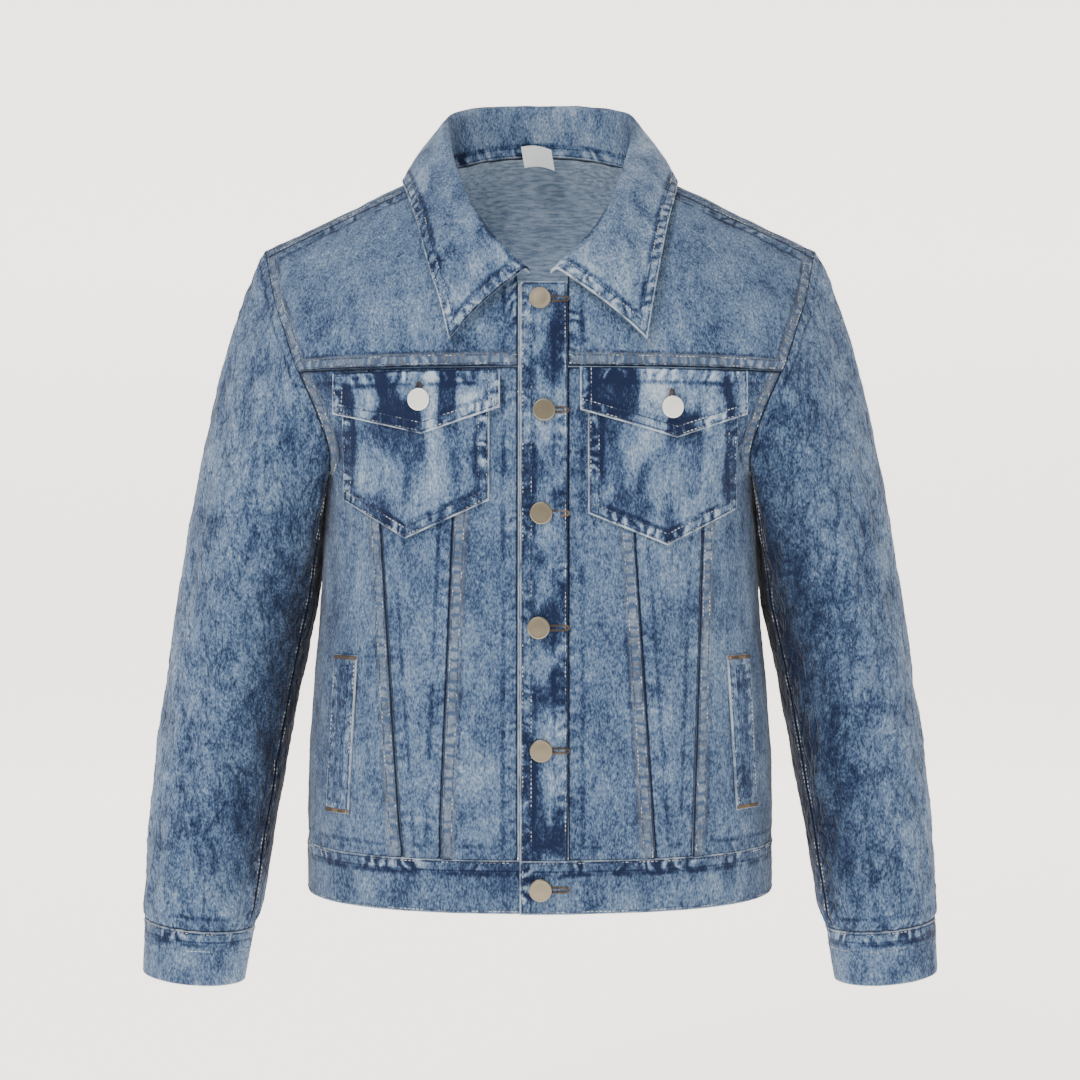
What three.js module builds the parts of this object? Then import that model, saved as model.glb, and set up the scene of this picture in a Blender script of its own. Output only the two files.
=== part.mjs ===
import * as THREE from 'three';

// Denim jacket, filled out with no wearer. Millimetres.
// +X is the wearer's left, -Y the front, +Z up. The origin is where the shoulders carry it.

const WALL = 1.8;
const SEAM_HALF_GAP = 0.2;
const BAND_WIDTH = 10.5;
const BAND_STEP = 0.8;
const BAND_RAISE = 0.8;
const YOKE_Z = -168;
const WAIST_SEAM_Z = -541.5;
const HEM_Z = -581;
const FRONT_ROUND = 1.3;
const BACK_ROUND = 1;
const RIDGE_LIFT = 90;
const BACK_LIFT = 180;
const DEG = Math.PI / 180;

const STAND_LEFT_X = -16.6;
const STAND_RIGHT_X = 20.8;
const PLACKET_LEFT_X = -15;
const PLACKET_RIGHT_X = 21;
const PLACKET_TOP_Z = -103;

// Level rings of the body: half width, depth to the front and back, and squareness.
const TORSO = [
  { z: -581, half: 188, front: 128, back: 121, power: 2.4 },
  { z: -495, half: 188.5, front: 128, back: 122, power: 2.4 },
  { z: -431, half: 185, front: 127, back: 122, power: 2.4 },
  { z: -354, half: 178.5, front: 125, back: 121, power: 2.35 },
  { z: -300, half: 176.5, front: 123, back: 121, power: 2.3 },
  { z: -255, half: 176, front: 121, back: 121, power: 2.3 },
  { z: -237, half: 186, front: 120, back: 121.5, power: 2.25 },
  { z: -200, half: 211, front: 117.5, back: 122, power: 2.2 },
  { z: -168, half: 232, front: 115, back: 122, power: 2.2 },
];

// Height of the shoulder ridge, as seen by the front and by the back.
const RIDGE = [
  { x: 0, front: 39, back: 50 },
  { x: 22, front: 37.5, back: 47 },
  { x: 42, front: 33.5, back: 39 },
  { x: 58, front: 22, back: 27 },
  { x: 70, front: 12, back: 17 },
  { x: 80, front: 7, back: 7 },
  { x: 110, front: -8, back: -8 },
  { x: 226, front: -64, back: -64 },
];

// Armhole above the yoke seam: lift goes from the front over the ridge to the back.
const ARMHOLE_HIGH = [
  { lift: 0, x: 189 },
  { lift: 22, x: 202 },
  { lift: 37, x: 212 },
  { lift: 60, x: 221 },
  { lift: 90, x: 226 },
  { lift: 120, x: 221 },
  { lift: 143, x: 212 },
  { lift: 158, x: 202 },
  { lift: 180, x: 189 },
];

// Armhole below the yoke seam: angle of its edge on the body ring.
const ARMHOLE_LOW = [
  { z: -255, angle: 90 },
  { z: -250, angle: 72 },
  { z: -240, angle: 62.5 },
  { z: -225, angle: 57.5 },
  { z: -200, angle: 54.5 },
  { z: -168, angle: 52.9 },
];

// Where each turn of the sleeve head meets the armhole, front half.
const HEAD_HIGH = [
  { turn: 0, lift: 90 },
  { turn: 30, lift: 62 },
  { turn: 60, lift: 34 },
  { turn: 100, lift: 0 },
];
const HEAD_LOW = [
  { turn: 100, z: -168 },
  { turn: 125, z: -205 },
  { turn: 150, z: -238 },
  { turn: 165, z: -250 },
  { turn: 180, z: -255 },
];

// Front yoke rows: inner end on the placket line or the neckline, and outer lift.
const FRONT_YOKE_ROWS = [
  { innerX: 0, innerLift: 0, outerLift: 0, raise: 1 },
  { innerX: 0, innerLift: 5.6, outerLift: 5.4, raise: 1 },
  { innerX: 0, innerLift: 6.4, outerLift: 6.2, raise: 0 },
  { innerX: 0, innerLift: 16, outerLift: 16, raise: 0 },
  { innerX: 24, innerLift: 29.6, outerLift: 27, raise: 0 },
  { innerX: 42, innerLift: 35.7, outerLift: 38, raise: 0 },
  { innerX: 58, innerLift: 46, outerLift: 50, raise: 0 },
  { innerX: 72, innerLift: 61, outerLift: 61, raise: 0 },
  { innerX: 79, innerLift: 69.7, outerLift: 69.7, raise: 0 },
];

// Back yoke columns: foot on the yoke seam, head on the neckline or shoulder seam.
const BACK_YOKE_COLUMNS = [
  { footX: 0, headX: 0, headLift: 118 },
  { footX: 16, headX: 20, headLift: 117.2 },
  { footX: 32, headX: 40, headLift: 115 },
  { footX: 50, headX: 62, headLift: 108.5 },
  { footX: 62, headX: 77, headLift: 100.5 },
  { footX: 72, headX: 83, headLift: 90 },
  { footX: 80, headX: 81.5, headLift: 70.3 },
  { footX: 98, headX: 110, headLift: 70.3 },
  { footX: 122, headX: 143, headLift: 70.3 },
  { footX: 150, headX: 177, headLift: 70.3 },
  { footX: 173, headX: 205, headLift: 70.3 },
  { footX: 189, headX: 222.5, headLift: 70.3 },
];
const BACK_YOKE_ROW_SHARES = [0, 0.05, 0.06, 0.2, 0.38, 0.56, 0.72, 0.86, 1];

// Front panel seams: x at the pocket foot and at the waistband.
const PANEL_SEAM_TOP_Z = -290;
const PANEL_SEAM_FOOT_Z = -537;
const PANEL_SEAMS = {
  right: { innerTop: -66, innerFoot: -76, outerTop: -122, outerFoot: -105 },
  left: { innerTop: 71, innerFoot: 87, outerTop: 125, outerFoot: 116 },
};
const PANEL_ROWS = [
  -168.9, -185, -205, -225, -240, -250, -255, -280, -312, -354, -400, -450, -495, -524, -541.2,
];

// Soft folds of the body: depth is positive for a ridge.
const BODY_FOLDS = [
  { x: 60, z: -250, slant: 0.12, long: 90, wide: 9, depth: 1.2 },
  { x: -58, z: -330, slant: -0.1, long: 95, wide: 9, depth: 1.1 },
  { x: 150, z: -300, slant: -0.25, long: 70, wide: 11, depth: -1.8 },
  { x: -150, z: -300, slant: 0.25, long: 70, wide: 11, depth: -1.8 },
  { x: 98, z: -430, slant: 0.05, long: 90, wide: 8, depth: 1.2 },
  { x: -92, z: -440, slant: -0.05, long: 80, wide: 8, depth: 1.2 },
  { x: 128, z: -505, slant: 0.1, long: 45, wide: 8, depth: 1.5 },
  { x: -132, z: -500, slant: -0.1, long: 45, wide: 8, depth: 1.5 },
];

// Level rings of the wearer's left sleeve; the right one is mirrored.
const SLEEVE = [
  { z: -354, centre: 239.6, half: 57.4, depth: 70, y: 2, tilt: 0 },
  { z: -408, centre: 249, half: 55, depth: 66, y: -1, tilt: 0 },
  { z: -462, centre: 257.4, half: 53.5, depth: 61, y: -6, tilt: 1 },
  { z: -538, centre: 266.7, half: 50.3, depth: 54, y: -16, tilt: 2.5 },
  { z: -575, centre: 269.8, half: 48.2, depth: 49.5, y: -22, tilt: 3.5 },
  { z: -596, centre: 272, half: 46.6, depth: 45.5, y: -26, tilt: 4.2 },
  { z: -606, centre: 273.4, half: 42.8, depth: 41.5, y: -28, tilt: 4.4 },
];
const SLEEVE_HEAD_EASE = 82;
const SLEEVE_HEAD_SHARES = [0, 0.1, 0.23, 0.38, 0.54, 0.7, 0.86];
const SLEEVE_LOW_ROWS = [
  -354, -378, -402, -426, -450, -476, -502, -530, -557, -581, -596, -606,
];
const SLEEVE_SEAM_FRONT = 156;
const SLEEVE_SEAM_BACK = 250;
const SLEEVE_SEAM_TURN = 0.6;
const SLEEVE_SEAM_STEER = 2;
const SLEEVE_START = 1.1;
const SLEEVE_HEAD_SWELL = 2;
const UNDERARM_CLEAR = 1.2;

// Largest sleeve folds, by turn from the outer line through the front.
const SLEEVE_FOLDS = [
  { turn: 60, z: -300, slant: 0.35, long: 70, wide: 11, depth: -2.6 },
  { turn: 95, z: -330, slant: 0.5, long: 60, wide: 9, depth: 2 },
  { turn: 120, z: -300, slant: 0.6, long: 55, wide: 9, depth: -2.6 },
  { turn: 75, z: -410, slant: -0.6, long: 45, wide: 9, depth: -2.4 },
  { turn: 110, z: -440, slant: -0.7, long: 42, wide: 8, depth: 2.2 },
  { turn: 60, z: -460, slant: 0.5, long: 45, wide: 8, depth: 2 },
  { turn: 90, z: -505, slant: -0.4, long: 45, wide: 8, depth: -2 },
  { turn: 60, z: -566, slant: 0.1, long: 24, wide: 6, depth: 1.6 },
  { turn: 105, z: -570, slant: -0.1, long: 22, wide: 6, depth: 1.6 },
  { turn: 270, z: -420, slant: 0.5, long: 45, wide: 9, depth: -2.4 },
  { turn: 300, z: -445, slant: -0.6, long: 45, wide: 9, depth: 2.2 },
  { turn: 285, z: -530, slant: 0.4, long: 42, wide: 8, depth: -2 },
  { turn: 320, z: -568, slant: 0.1, long: 22, wide: 6, depth: 1.6 },
];

const CUFF = [
  { z: -607, centre: 273.5, half: 43.2, depth: 42, y: -28 },
  { z: -611, centre: 273.9, half: 42.8, depth: 41.6, y: -28.3 },
  { z: -628, centre: 275.7, half: 41.4, depth: 40, y: -29 },
  { z: -648.5, centre: 277.8, half: 40, depth: 38.2, y: -30 },
];
const CUFF_TILT = 4.4;
const CUFF_ROWS = [-607, -611, -611.9, -648.5];

// Collar stations from the front edge to the centre back.
const COLLAR = [
  { x: 8, lift: 26.4, foldX: 9, foldY: -105.5, foldZ: -93, edgeX: 75, edgeY: -119, edgeZ: -148, lean: 6 },
  { x: 24, lift: 31, foldX: 25, foldY: -103, foldZ: -78, edgeX: 81, edgeY: -112, edgeZ: -119, lean: 5 },
  { x: 42, lift: 36.5, foldX: 43.5, foldY: -91, foldZ: -55, edgeX: 89, edgeY: -98, edgeZ: -88, lean: 3 },
  { x: 58, lift: 47, foldX: 58.5, foldY: -67, foldZ: -25, edgeX: 98, edgeY: -72, edgeZ: -52, lean: 2 },
  { x: 71.5, lift: 62, foldX: 68.5, foldY: -40, foldZ: 6, edgeX: 107, edgeY: -40, edgeZ: -24, lean: 1 },
  { x: 79.5, lift: 75, foldX: 74, foldY: -15, foldZ: 31, edgeX: 112, edgeY: -8, edgeZ: -8, lean: 0 },
  { x: 82.5, lift: 90, foldX: 75, foldY: 10, foldZ: 46, edgeX: 110, edgeY: 26, edgeZ: -6, lean: 0 },
  { x: 76, lift: 101, foldX: 68, foldY: 32, foldZ: 58, edgeX: 94, edgeY: 54, edgeZ: -8, lean: 0 },
  { x: 61, lift: 109, foldX: 54, foldY: 48, foldZ: 65, edgeX: 70, edgeY: 68, edgeZ: -6, lean: 0 },
  { x: 38, lift: 115.3, foldX: 33, foldY: 59, foldZ: 69, edgeX: 40, edgeY: 77, edgeZ: -3, lean: 0 },
  { x: 0, lift: 118, foldX: 0, foldY: 63, foldZ: 70.5, edgeX: 0, edgeY: 80, edgeZ: 0, lean: 0 },
];
const COLLAR_WALL = 2.2;
const COLLAR_SEAT = 1.2;
const COLLAR_CLEAR = 3.2;
const COLLAR_ROLL = 3.6;
const COLLAR_STEPS = 2;
const COLLAR_FALL_SHARES = [0.12, 0.34, 0.58, 0.8, 1];
const COLLAR_ROLL_DROP = 0.6;
const COLLAR_ROLL_SHARE = 0.3;
const COLLAR_BOW = 4;

// Pointed patches: inner and outer edge, top, heights of the two corners, and the tip.
const POCKETS = {
  right: { inner: -38, outer: -151.5, top: -190, innerFoot: -270, outerFoot: -269, tipX: -102, tip: -299 },
  left: { inner: 36, outer: 151.5, top: -190, innerFoot: -280, outerFoot: -276, tipX: 96, tip: -304 },
};
const FLAPS = {
  right: { inner: -30, outer: -158, top: -171.5, innerFoot: -200, outerFoot: -202, tipX: -89, tip: -219.5 },
  left: { inner: 30, outer: 158, top: -169.5, innerFoot: -202, outerFoot: -202, tipX: 103, tip: -222 },
};
const POCKET_LIFT = 1.7;
const POCKET_WALL = 1.5;
const FLAP_LIFT = 3.8;
const FLAP_WALL = 1.7;
const PATCH_COLUMNS = [0, 0.04, 0.2, 0.35, 0.5, 0.65, 0.8, 0.96, 1];
const PATCH_ROWS = [0, 0.2, 0.4, 0.6, 0.8, 0.95, 1];
const PATCH_EDGE_DROP = 0.4;

const WELTS = {
  right: { topInner: -140, topOuter: -159, footInner: -146.5, footOuter: -166, top: -389, foot: -511 },
  left: { topInner: 143.5, topOuter: 163, footInner: 151, footOuter: 168.5, top: -389, foot: -508 },
};
const WELT_LIFT = 0.5;
const WELT_WALL = 1.6;

const BUTTON_RADIUS = 8.5;
const BUTTON_HEIGHT = 3;
const BUTTON_SHANK = 4;
const BUTTON_SEAT = 0.4;
const BUTTON_RIM_FOOT = 0.8;
const BUTTON_RIM_MIDDLE = 1.5;
const BUTTON_ROUNDING = 0.7;
const BUTTON_SIDES = 20;
const PLACKET_LIFT = 0.5;
const PLACKET_WALL = 2.1;
const FRONT_BUTTONS = [
  { x: 0, z: -117 },
  { x: 3, z: -202 },
  { x: 0.8, z: -280 },
  { x: -1.1, z: -366 },
  { x: 0.8, z: -458 },
];
const WAIST_BUTTON = { x: 0.3, z: -562 };
const FLAP_BUTTONS = { right: { x: -90.6, z: -193.6 }, left: { x: 99, z: -199 } };

const NECK_LABEL = {
  fromX: -16, toX: 9.5, top: 33, foot: 15, y: 54.6, slope: 1, skew: 2, arch: 2, curl: 0.8, wall: 0.8,
};

// Turned-over ends of the waistband: the lap, and the ramp that leads up to it.
const LAP_LIFT = WALL + 0.8;
const LAP_RAMP_X = 40;
const LAP_MIDDLE_X = 2;
const UNDERLAP_X = 19;
const UNDERLAP_START_X = -18;
const WAISTBAND_ROWS = [WAIST_SEAM_Z - SEAM_HALF_GAP, -545, -563, -578, HEM_Z];

const DENIM = { color: 0x7590b0, roughness: 0.9, metalness: 0 };
const PEWTER = { color: 0xa49d90, roughness: 0.42, metalness: 0.85 };
const LABEL_WHITE = { color: 0xe8eaea, roughness: 0.8, metalness: 0 };

const jacket = new THREE.Group();
jacket.name = 'denim_jacket';

// Smooth reading of one column of a table at a value of another.
function read(table, by, key, value) {
  const rising = table[table.length - 1][by] > table[0][by];
  const first = table[0];
  const last = table[table.length - 1];
  if (rising ? value <= first[by] : value >= first[by]) return first[key];
  if (rising ? value >= last[by] : value <= last[by]) return last[key];
  let i = 0;
  while (rising ? value > table[i + 1][by] : value < table[i + 1][by]) i += 1;
  const slope = (a, b) => (table[b][key] - table[a][key]) / (table[b][by] - table[a][by]);
  const span = table[i + 1][by] - table[i][by];
  const t = (value - table[i][by]) / span;
  const startSlope = i > 0 ? slope(i - 1, i + 1) : slope(i, i + 1);
  const endSlope = i + 2 < table.length ? slope(i, i + 2) : slope(i, i + 1);
  const a = 2 * t ** 3 - 3 * t ** 2 + 1;
  const b = t ** 3 - 2 * t ** 2 + t;
  const c = 3 * t ** 2 - 2 * t ** 3;
  const d = t ** 3 - t ** 2;
  return a * table[i][key] + b * span * startSlope + c * table[i + 1][key] + d * span * endSlope;
}

function lerp(a, b, t) {
  return a + (b - a) * t;
}

function evenShares(count) {
  return Array.from({ length: count + 1 }, (_, i) => i / count);
}

function foldHeight(folds, across, z) {
  let height = 0;
  for (const fold of folds) {
    const along = z - fold.z;
    const aside = across(fold) - fold.slant * along;
    height += fold.depth * Math.exp(-((aside / fold.wide) ** 2) - (along / fold.long) ** 2);
  }
  return height;
}

function signedPower(value, power) {
  return Math.sign(value) * Math.abs(value) ** power;
}

// Point of the body below the yoke seam; angle 0 is the centre front, 180 the centre back.
function ringPoint(angle, z) {
  const half = read(TORSO, 'z', 'half', z);
  const round = 2 / read(TORSO, 'z', 'power', z);
  const isFront = Math.cos(angle * DEG) > 0;
  const depth = read(TORSO, 'z', isFront ? 'front' : 'back', z);
  const x = half * signedPower(Math.sin(angle * DEG), round);
  const y = -depth * signedPower(Math.cos(angle * DEG), round);
  const point = new THREE.Vector3(x, y, z);
  if (!isFront || z > YOKE_Z) return point;
  const fold = foldHeight(BODY_FOLDS, (row) => x - row.x, z);
  point.y -= fold * Math.cos(angle * DEG);
  return point;
}

function ringAngle(x, z) {
  const half = read(TORSO, 'z', 'half', z);
  const power = read(TORSO, 'z', 'power', z);
  return Math.sign(x) * Math.asin(Math.min(1, Math.abs(x) / half) ** (power / 2)) / DEG;
}

function yokeDepth(x, isBack) {
  const ring = TORSO[TORSO.length - 1];
  const share = 1 - (Math.min(Math.abs(x), ring.half) / ring.half) ** ring.power;
  return (isBack ? ring.back : ring.front) * share ** (1 / ring.power);
}

// Point of the body above the yoke seam; lift 0 is the front seam, 90 the ridge, 180 the back seam.
function shoulderPoint(x, lift) {
  const isBack = lift > RIDGE_LIFT;
  const round = isBack ? BACK_ROUND : FRONT_ROUND;
  const ridge = read(RIDGE, 'x', isBack ? 'back' : 'front', Math.abs(x));
  const y = -yokeDepth(x, isBack) * signedPower(Math.cos(lift * DEG), round);
  const z = YOKE_Z + (ridge - YOKE_Z) * Math.max(0, Math.sin(lift * DEG)) ** round;
  return new THREE.Vector3(x, y, z);
}

function frontPoint(x, z) {
  if (z <= YOKE_Z) return ringPoint(ringAngle(x, z), z);
  const ridge = read(RIDGE, 'x', 'front', Math.abs(x));
  const lift = Math.asin(((z - YOKE_Z) / (ridge - YOKE_Z)) ** (1 / FRONT_ROUND)) / DEG;
  return shoulderPoint(x, lift);
}

// Moves a point straight away from the chest until it clears the shoulders.
function clearOfShoulders(point, clear) {
  const isBack = point.y > 0;
  const round = isBack ? BACK_ROUND : FRONT_ROUND;
  const ridge = read(RIDGE, 'x', isBack ? 'back' : 'front', Math.abs(point.x));
  const height = point.z - YOKE_Z;
  const shareY = (Math.abs(point.y) / yokeDepth(point.x, isBack)) ** (2 / round);
  const shareZ = (Math.max(height, 0) / (ridge - YOKE_Z)) ** (2 / round);
  const reach = Math.hypot(point.y, height);
  const surface = reach / (shareY + shareZ) ** (round / 2);
  const grow = Math.max(1, (surface + clear) / reach);
  return new THREE.Vector3(point.x, point.y * grow, YOKE_Z + height * grow);
}

// A cloth wall over a grid of points: bottom and top are heights along the outward normal.
// The margin counts end columns that only steer the normals, so that neighbours agree at a seam.
function wall(name, look, grid, { bottom, top, closed = false, turnOver = false, margin = 0 }) {
  const rows = grid.length;
  const gridColumns = grid[0].length;
  const columns = gridColumns - 2 * margin;
  const next = (j, step) => {
    if (closed) return (j + step + gridColumns) % gridColumns;
    return Math.min(gridColumns - 1, Math.max(0, j + step));
  };
  const normalAt = (i, j) => {
    const along = grid[Math.min(rows - 1, i + 1)][j].clone().sub(grid[Math.max(0, i - 1)][j]);
    const across = grid[i][next(j, 1)].clone().sub(grid[i][next(j, -1)]);
    const normal = across.cross(along).normalize();
    return turnOver ? normal.negate() : normal;
  };
  const positions = [];
  for (const height of [top, bottom]) {
    for (let i = 0; i < rows; i += 1) {
      for (let j = margin; j < columns + margin; j += 1) {
        const offset = typeof height === 'function' ? height(i, j) : height;
        const point = grid[i][j].clone().addScaledVector(normalAt(i, j), offset);
        positions.push(point.x, point.y, point.z);
      }
    }
  }
  const index = [];
  const at = (side, i, j) => side * rows * columns + i * columns + (j % columns);
  const quad = (a, b, c, d) => index.push(a, b, c, a, c, d);
  const spans = closed ? columns : columns - 1;
  for (let i = 0; i < rows - 1; i += 1) {
    for (let j = 0; j < spans; j += 1) {
      quad(at(0, i, j), at(0, i, j + 1), at(0, i + 1, j + 1), at(0, i + 1, j));
      quad(at(1, i, j), at(1, i + 1, j), at(1, i + 1, j + 1), at(1, i, j + 1));
    }
  }
  for (let j = 0; j < spans; j += 1) {
    quad(at(0, 0, j), at(1, 0, j), at(1, 0, j + 1), at(0, 0, j + 1));
    quad(at(0, rows - 1, j + 1), at(1, rows - 1, j + 1), at(1, rows - 1, j), at(0, rows - 1, j));
  }
  if (!closed) {
    for (let i = 0; i < rows - 1; i += 1) {
      const last = columns - 1;
      quad(at(0, i + 1, 0), at(1, i + 1, 0), at(1, i, 0), at(0, i, 0));
      quad(at(0, i, last), at(1, i, last), at(1, i + 1, last), at(0, i + 1, last));
    }
  }
  addSolid(name, look, positions, index);
}

function addSolid(name, look, positions, index) {
  let volume = 0;
  const corner = (k) => new THREE.Vector3().fromArray(positions, index[k] * 3);
  for (let k = 0; k < index.length; k += 3) {
    volume += corner(k).dot(corner(k + 1).cross(corner(k + 2)));
  }
  const facing = volume > 0 ? index : index.slice().reverse();
  const geometry = new THREE.BufferGeometry();
  geometry.setAttribute('position', new THREE.Float32BufferAttribute(positions, 3));
  geometry.setIndex(facing);
  geometry.computeVertexNormals();
  const mesh = new THREE.Mesh(geometry, new THREE.MeshStandardMaterial(look));
  mesh.name = name;
  jacket.add(mesh);
}

const SIDES = { right: -1, left: 1 };
const clothWall = { bottom: -WALL, top: 0 };

// Front panels

function seamX(side, line, z) {
  const seams = PANEL_SEAMS[side];
  const t = (z - PANEL_SEAM_TOP_Z) / (PANEL_SEAM_FOOT_Z - PANEL_SEAM_TOP_Z);
  return lerp(seams[`${line}Top`], seams[`${line}Foot`], t);
}

function panelInnerX(side) {
  return side === 'left' ? STAND_RIGHT_X + SEAM_HALF_GAP * 2 : STAND_LEFT_X - SEAM_HALF_GAP * 2;
}

function frontPanels(side) {
  const sign = SIDES[side];
  const turnOver = sign > 0;
  const gap = sign * SEAM_HALF_GAP;
  const centre = PANEL_ROWS.map((z) => {
    const start = panelInnerX(side);
    const end = seamX(side, 'inner', z) - gap;
    const band = end - sign * BAND_WIDTH;
    const step = band - sign * BAND_STEP;
    const xs = [start, lerp(start, step, 1 / 3), lerp(start, step, 2 / 3), step, band, end];
    return xs.map((x) => frontPoint(x, z));
  });
  const bandRaise = (first, last) => (i, j) => (j >= first && j <= last ? BAND_RAISE : 0);
  wall(`front_centre_${side}`, DENIM, centre, { bottom: -WALL, top: bandRaise(4, 5), turnOver });

  const middle = PANEL_ROWS.map((z) => {
    const start = seamX(side, 'inner', z) + gap;
    const end = seamX(side, 'outer', z) - gap;
    return evenShares(4).map((t) => frontPoint(lerp(start, end, t), z));
  });
  wall(`front_middle_${side}`, DENIM, middle, { ...clothWall, turnOver });

  const outer = PANEL_ROWS.map((z) => {
    const start = seamX(side, 'outer', z) + gap;
    const band = ringAngle(start + sign * BAND_WIDTH, z);
    const step = ringAngle(start + sign * (BAND_WIDTH + BAND_STEP), z);
    const end = sign * (read(ARMHOLE_LOW, 'z', 'angle', z) - SEAM_HALF_GAP);
    const angles = evenShares(5).map((t) => lerp(step, end, t));
    return [ringAngle(start, z), band, ...angles].map((angle) => ringPoint(angle, z));
  });
  wall(`front_side_${side}`, DENIM, outer, { bottom: -WALL, top: bandRaise(0, 1), turnOver });
}

function frontYoke(side) {
  const sign = SIDES[side];
  const grid = FRONT_YOKE_ROWS.map((row) => {
    const innerX = Math.max(Math.abs(panelInnerX(side)), row.innerX);
    const outerX = read(ARMHOLE_HIGH, 'lift', 'x', row.outerLift) - SEAM_HALF_GAP;
    return evenShares(10).map((t) => {
      return shoulderPoint(sign * lerp(innerX, outerX, t), lerp(row.innerLift, row.outerLift, t));
    });
  });
  const top = (i) => FRONT_YOKE_ROWS[i].raise * BAND_RAISE;
  wall(`front_yoke_${side}`, DENIM, grid, { bottom: -WALL, top, turnOver: sign < 0 });
}

// Back

function backYoke() {
  const half = BACK_YOKE_COLUMNS;
  const columns = [
    ...half.slice(1).reverse().map((column) => ({ ...column, sign: -1 })),
    ...half.map((column) => ({ ...column, sign: 1 })),
  ];
  const outermost = half.length - 1;
  const grid = BACK_YOKE_ROW_SHARES.map((share) => columns.map((column) => {
    const lift = lerp(BACK_LIFT, column.headLift, share);
    const widest = read(ARMHOLE_HIGH, 'lift', 'x', lift);
    const foot = read(ARMHOLE_HIGH, 'lift', 'x', BACK_LIFT);
    const headX = read(ARMHOLE_HIGH, 'lift', 'x', column.headLift);
    const eased = column.headLift < RIDGE_LIFT ? (widest - foot) / (headX - foot) : share;
    const isEdge = column.footX === half[outermost].footX;
    const x = isEdge ? widest - SEAM_HALF_GAP : lerp(column.footX, column.headX, eased);
    return shoulderPoint(column.sign * x, lift);
  }));
  const top = (i) => (i < 2 ? BAND_RAISE : 0);
  wall('back_yoke', DENIM, grid, { bottom: -WALL, top, turnOver: true });
}

function backPanel() {
  const grid = PANEL_ROWS.map((z) => {
    const edge = read(ARMHOLE_LOW, 'z', 'angle', z) - SEAM_HALF_GAP;
    const start = BACK_LIFT - edge;
    return evenShares(22).map((t) => ringPoint(lerp(start, 360 - start, t), z));
  });
  wall('back_panel', DENIM, grid, { ...clothWall, turnOver: true });
}

// Button stand under, placket over it

function placketWall(name, fromX, toX, fromZ, lift, thickness) {
  const rows = evenShares(18).map((t) => lerp(fromZ, WAIST_SEAM_Z + SEAM_HALF_GAP * 2, t));
  const edge = 1.6;
  const xs = [fromX, fromX + edge, lerp(fromX, toX, 0.5), toX - edge, toX];
  const grid = rows.map((z) => xs.map((x) => frontPoint(x, z)));
  const last = xs.length - 1;
  const top = (i, j) => lift + thickness - (j === 0 || j === last ? PATCH_EDGE_DROP : 0);
  wall(name, DENIM, grid, { bottom: lift, top, turnOver: true });
}

// Waistband: the wearer's left end laps over the right end

function waistband() {
  const over = [PLACKET_LEFT_X, LAP_MIDDLE_X, PLACKET_RIGHT_X];
  const under = [UNDERLAP_START_X, LAP_MIDDLE_X, UNDERLAP_X];
  const start = ringAngle(LAP_RAMP_X, HEM_Z);
  const finish = 360 + ringAngle(-LAP_RAMP_X, HEM_Z);
  const angles = [
    ...over.map((x) => ringAngle(x, HEM_Z)),
    ...evenShares(40).map((t) => lerp(start, finish, t)),
    ...under.map((x) => 360 + ringAngle(x, HEM_Z)),
  ];
  const grid = WAISTBAND_ROWS.map((z) => angles.map((angle, j) => {
    const point = ringPoint(angle, z);
    const outward = new THREE.Vector3(point.x, point.y, 0).normalize();
    return point.addScaledVector(outward, j < over.length ? LAP_LIFT : 0);
  }));
  wall('waistband', DENIM, grid, { bottom: -WALL, top: 0.4, turnOver: true });
}

// Sleeves

function armholePoint(turn) {
  const isBack = turn > 180;
  const frontTurn = isBack ? 360 - turn : turn;
  if (frontTurn <= HEAD_HIGH[HEAD_HIGH.length - 1].turn) {
    const lift = read(HEAD_HIGH, 'turn', 'lift', frontTurn);
    const x = read(ARMHOLE_HIGH, 'lift', 'x', lift);
    return shoulderPoint(x, isBack ? BACK_LIFT - lift : lift);
  }
  const z = read(HEAD_LOW, 'turn', 'z', frontTurn);
  const angle = read(ARMHOLE_LOW, 'z', 'angle', z);
  return ringPoint(isBack ? BACK_LIFT - angle : angle, z);
}

function sleeveRing(turn, z) {
  const half = read(SLEEVE, 'z', 'half', z);
  const depth = read(SLEEVE, 'z', 'depth', z);
  const tilt = read(SLEEVE, 'z', 'tilt', z);
  const across = (fold) => ((turn - fold.turn + 540) % 360 - 180) * DEG * half;
  const fold = foldHeight(SLEEVE_FOLDS, across, z);
  const x = read(SLEEVE, 'z', 'centre', z) + (half + fold) * Math.cos(turn * DEG);
  const y = read(SLEEVE, 'z', 'y', z) - (depth + fold) * Math.sin(turn * DEG);
  return new THREE.Vector3(x, y, z + tilt * Math.cos(turn * DEG));
}

function sleeveHead(turn, share) {
  const inward = (1 - Math.cos(turn * DEG)) / 2;
  const foot = sleeveRing(turn, SLEEVE[0].z);
  const start = armholePoint(turn);
  start.x += UNDERARM_CLEAR * inward;
  const bend = start.clone().lerp(foot, 0.5);
  bend.z += SLEEVE_HEAD_EASE * (1 - inward) ** 2;
  bend.x += SLEEVE_HEAD_SWELL * (1 - inward);
  start.addScaledVector(bend.clone().sub(start).normalize(), SLEEVE_START);
  return start.clone().multiplyScalar((1 - share) ** 2)
    .addScaledVector(bend, 2 * share * (1 - share))
    .addScaledVector(foot, share ** 2);
}

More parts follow.
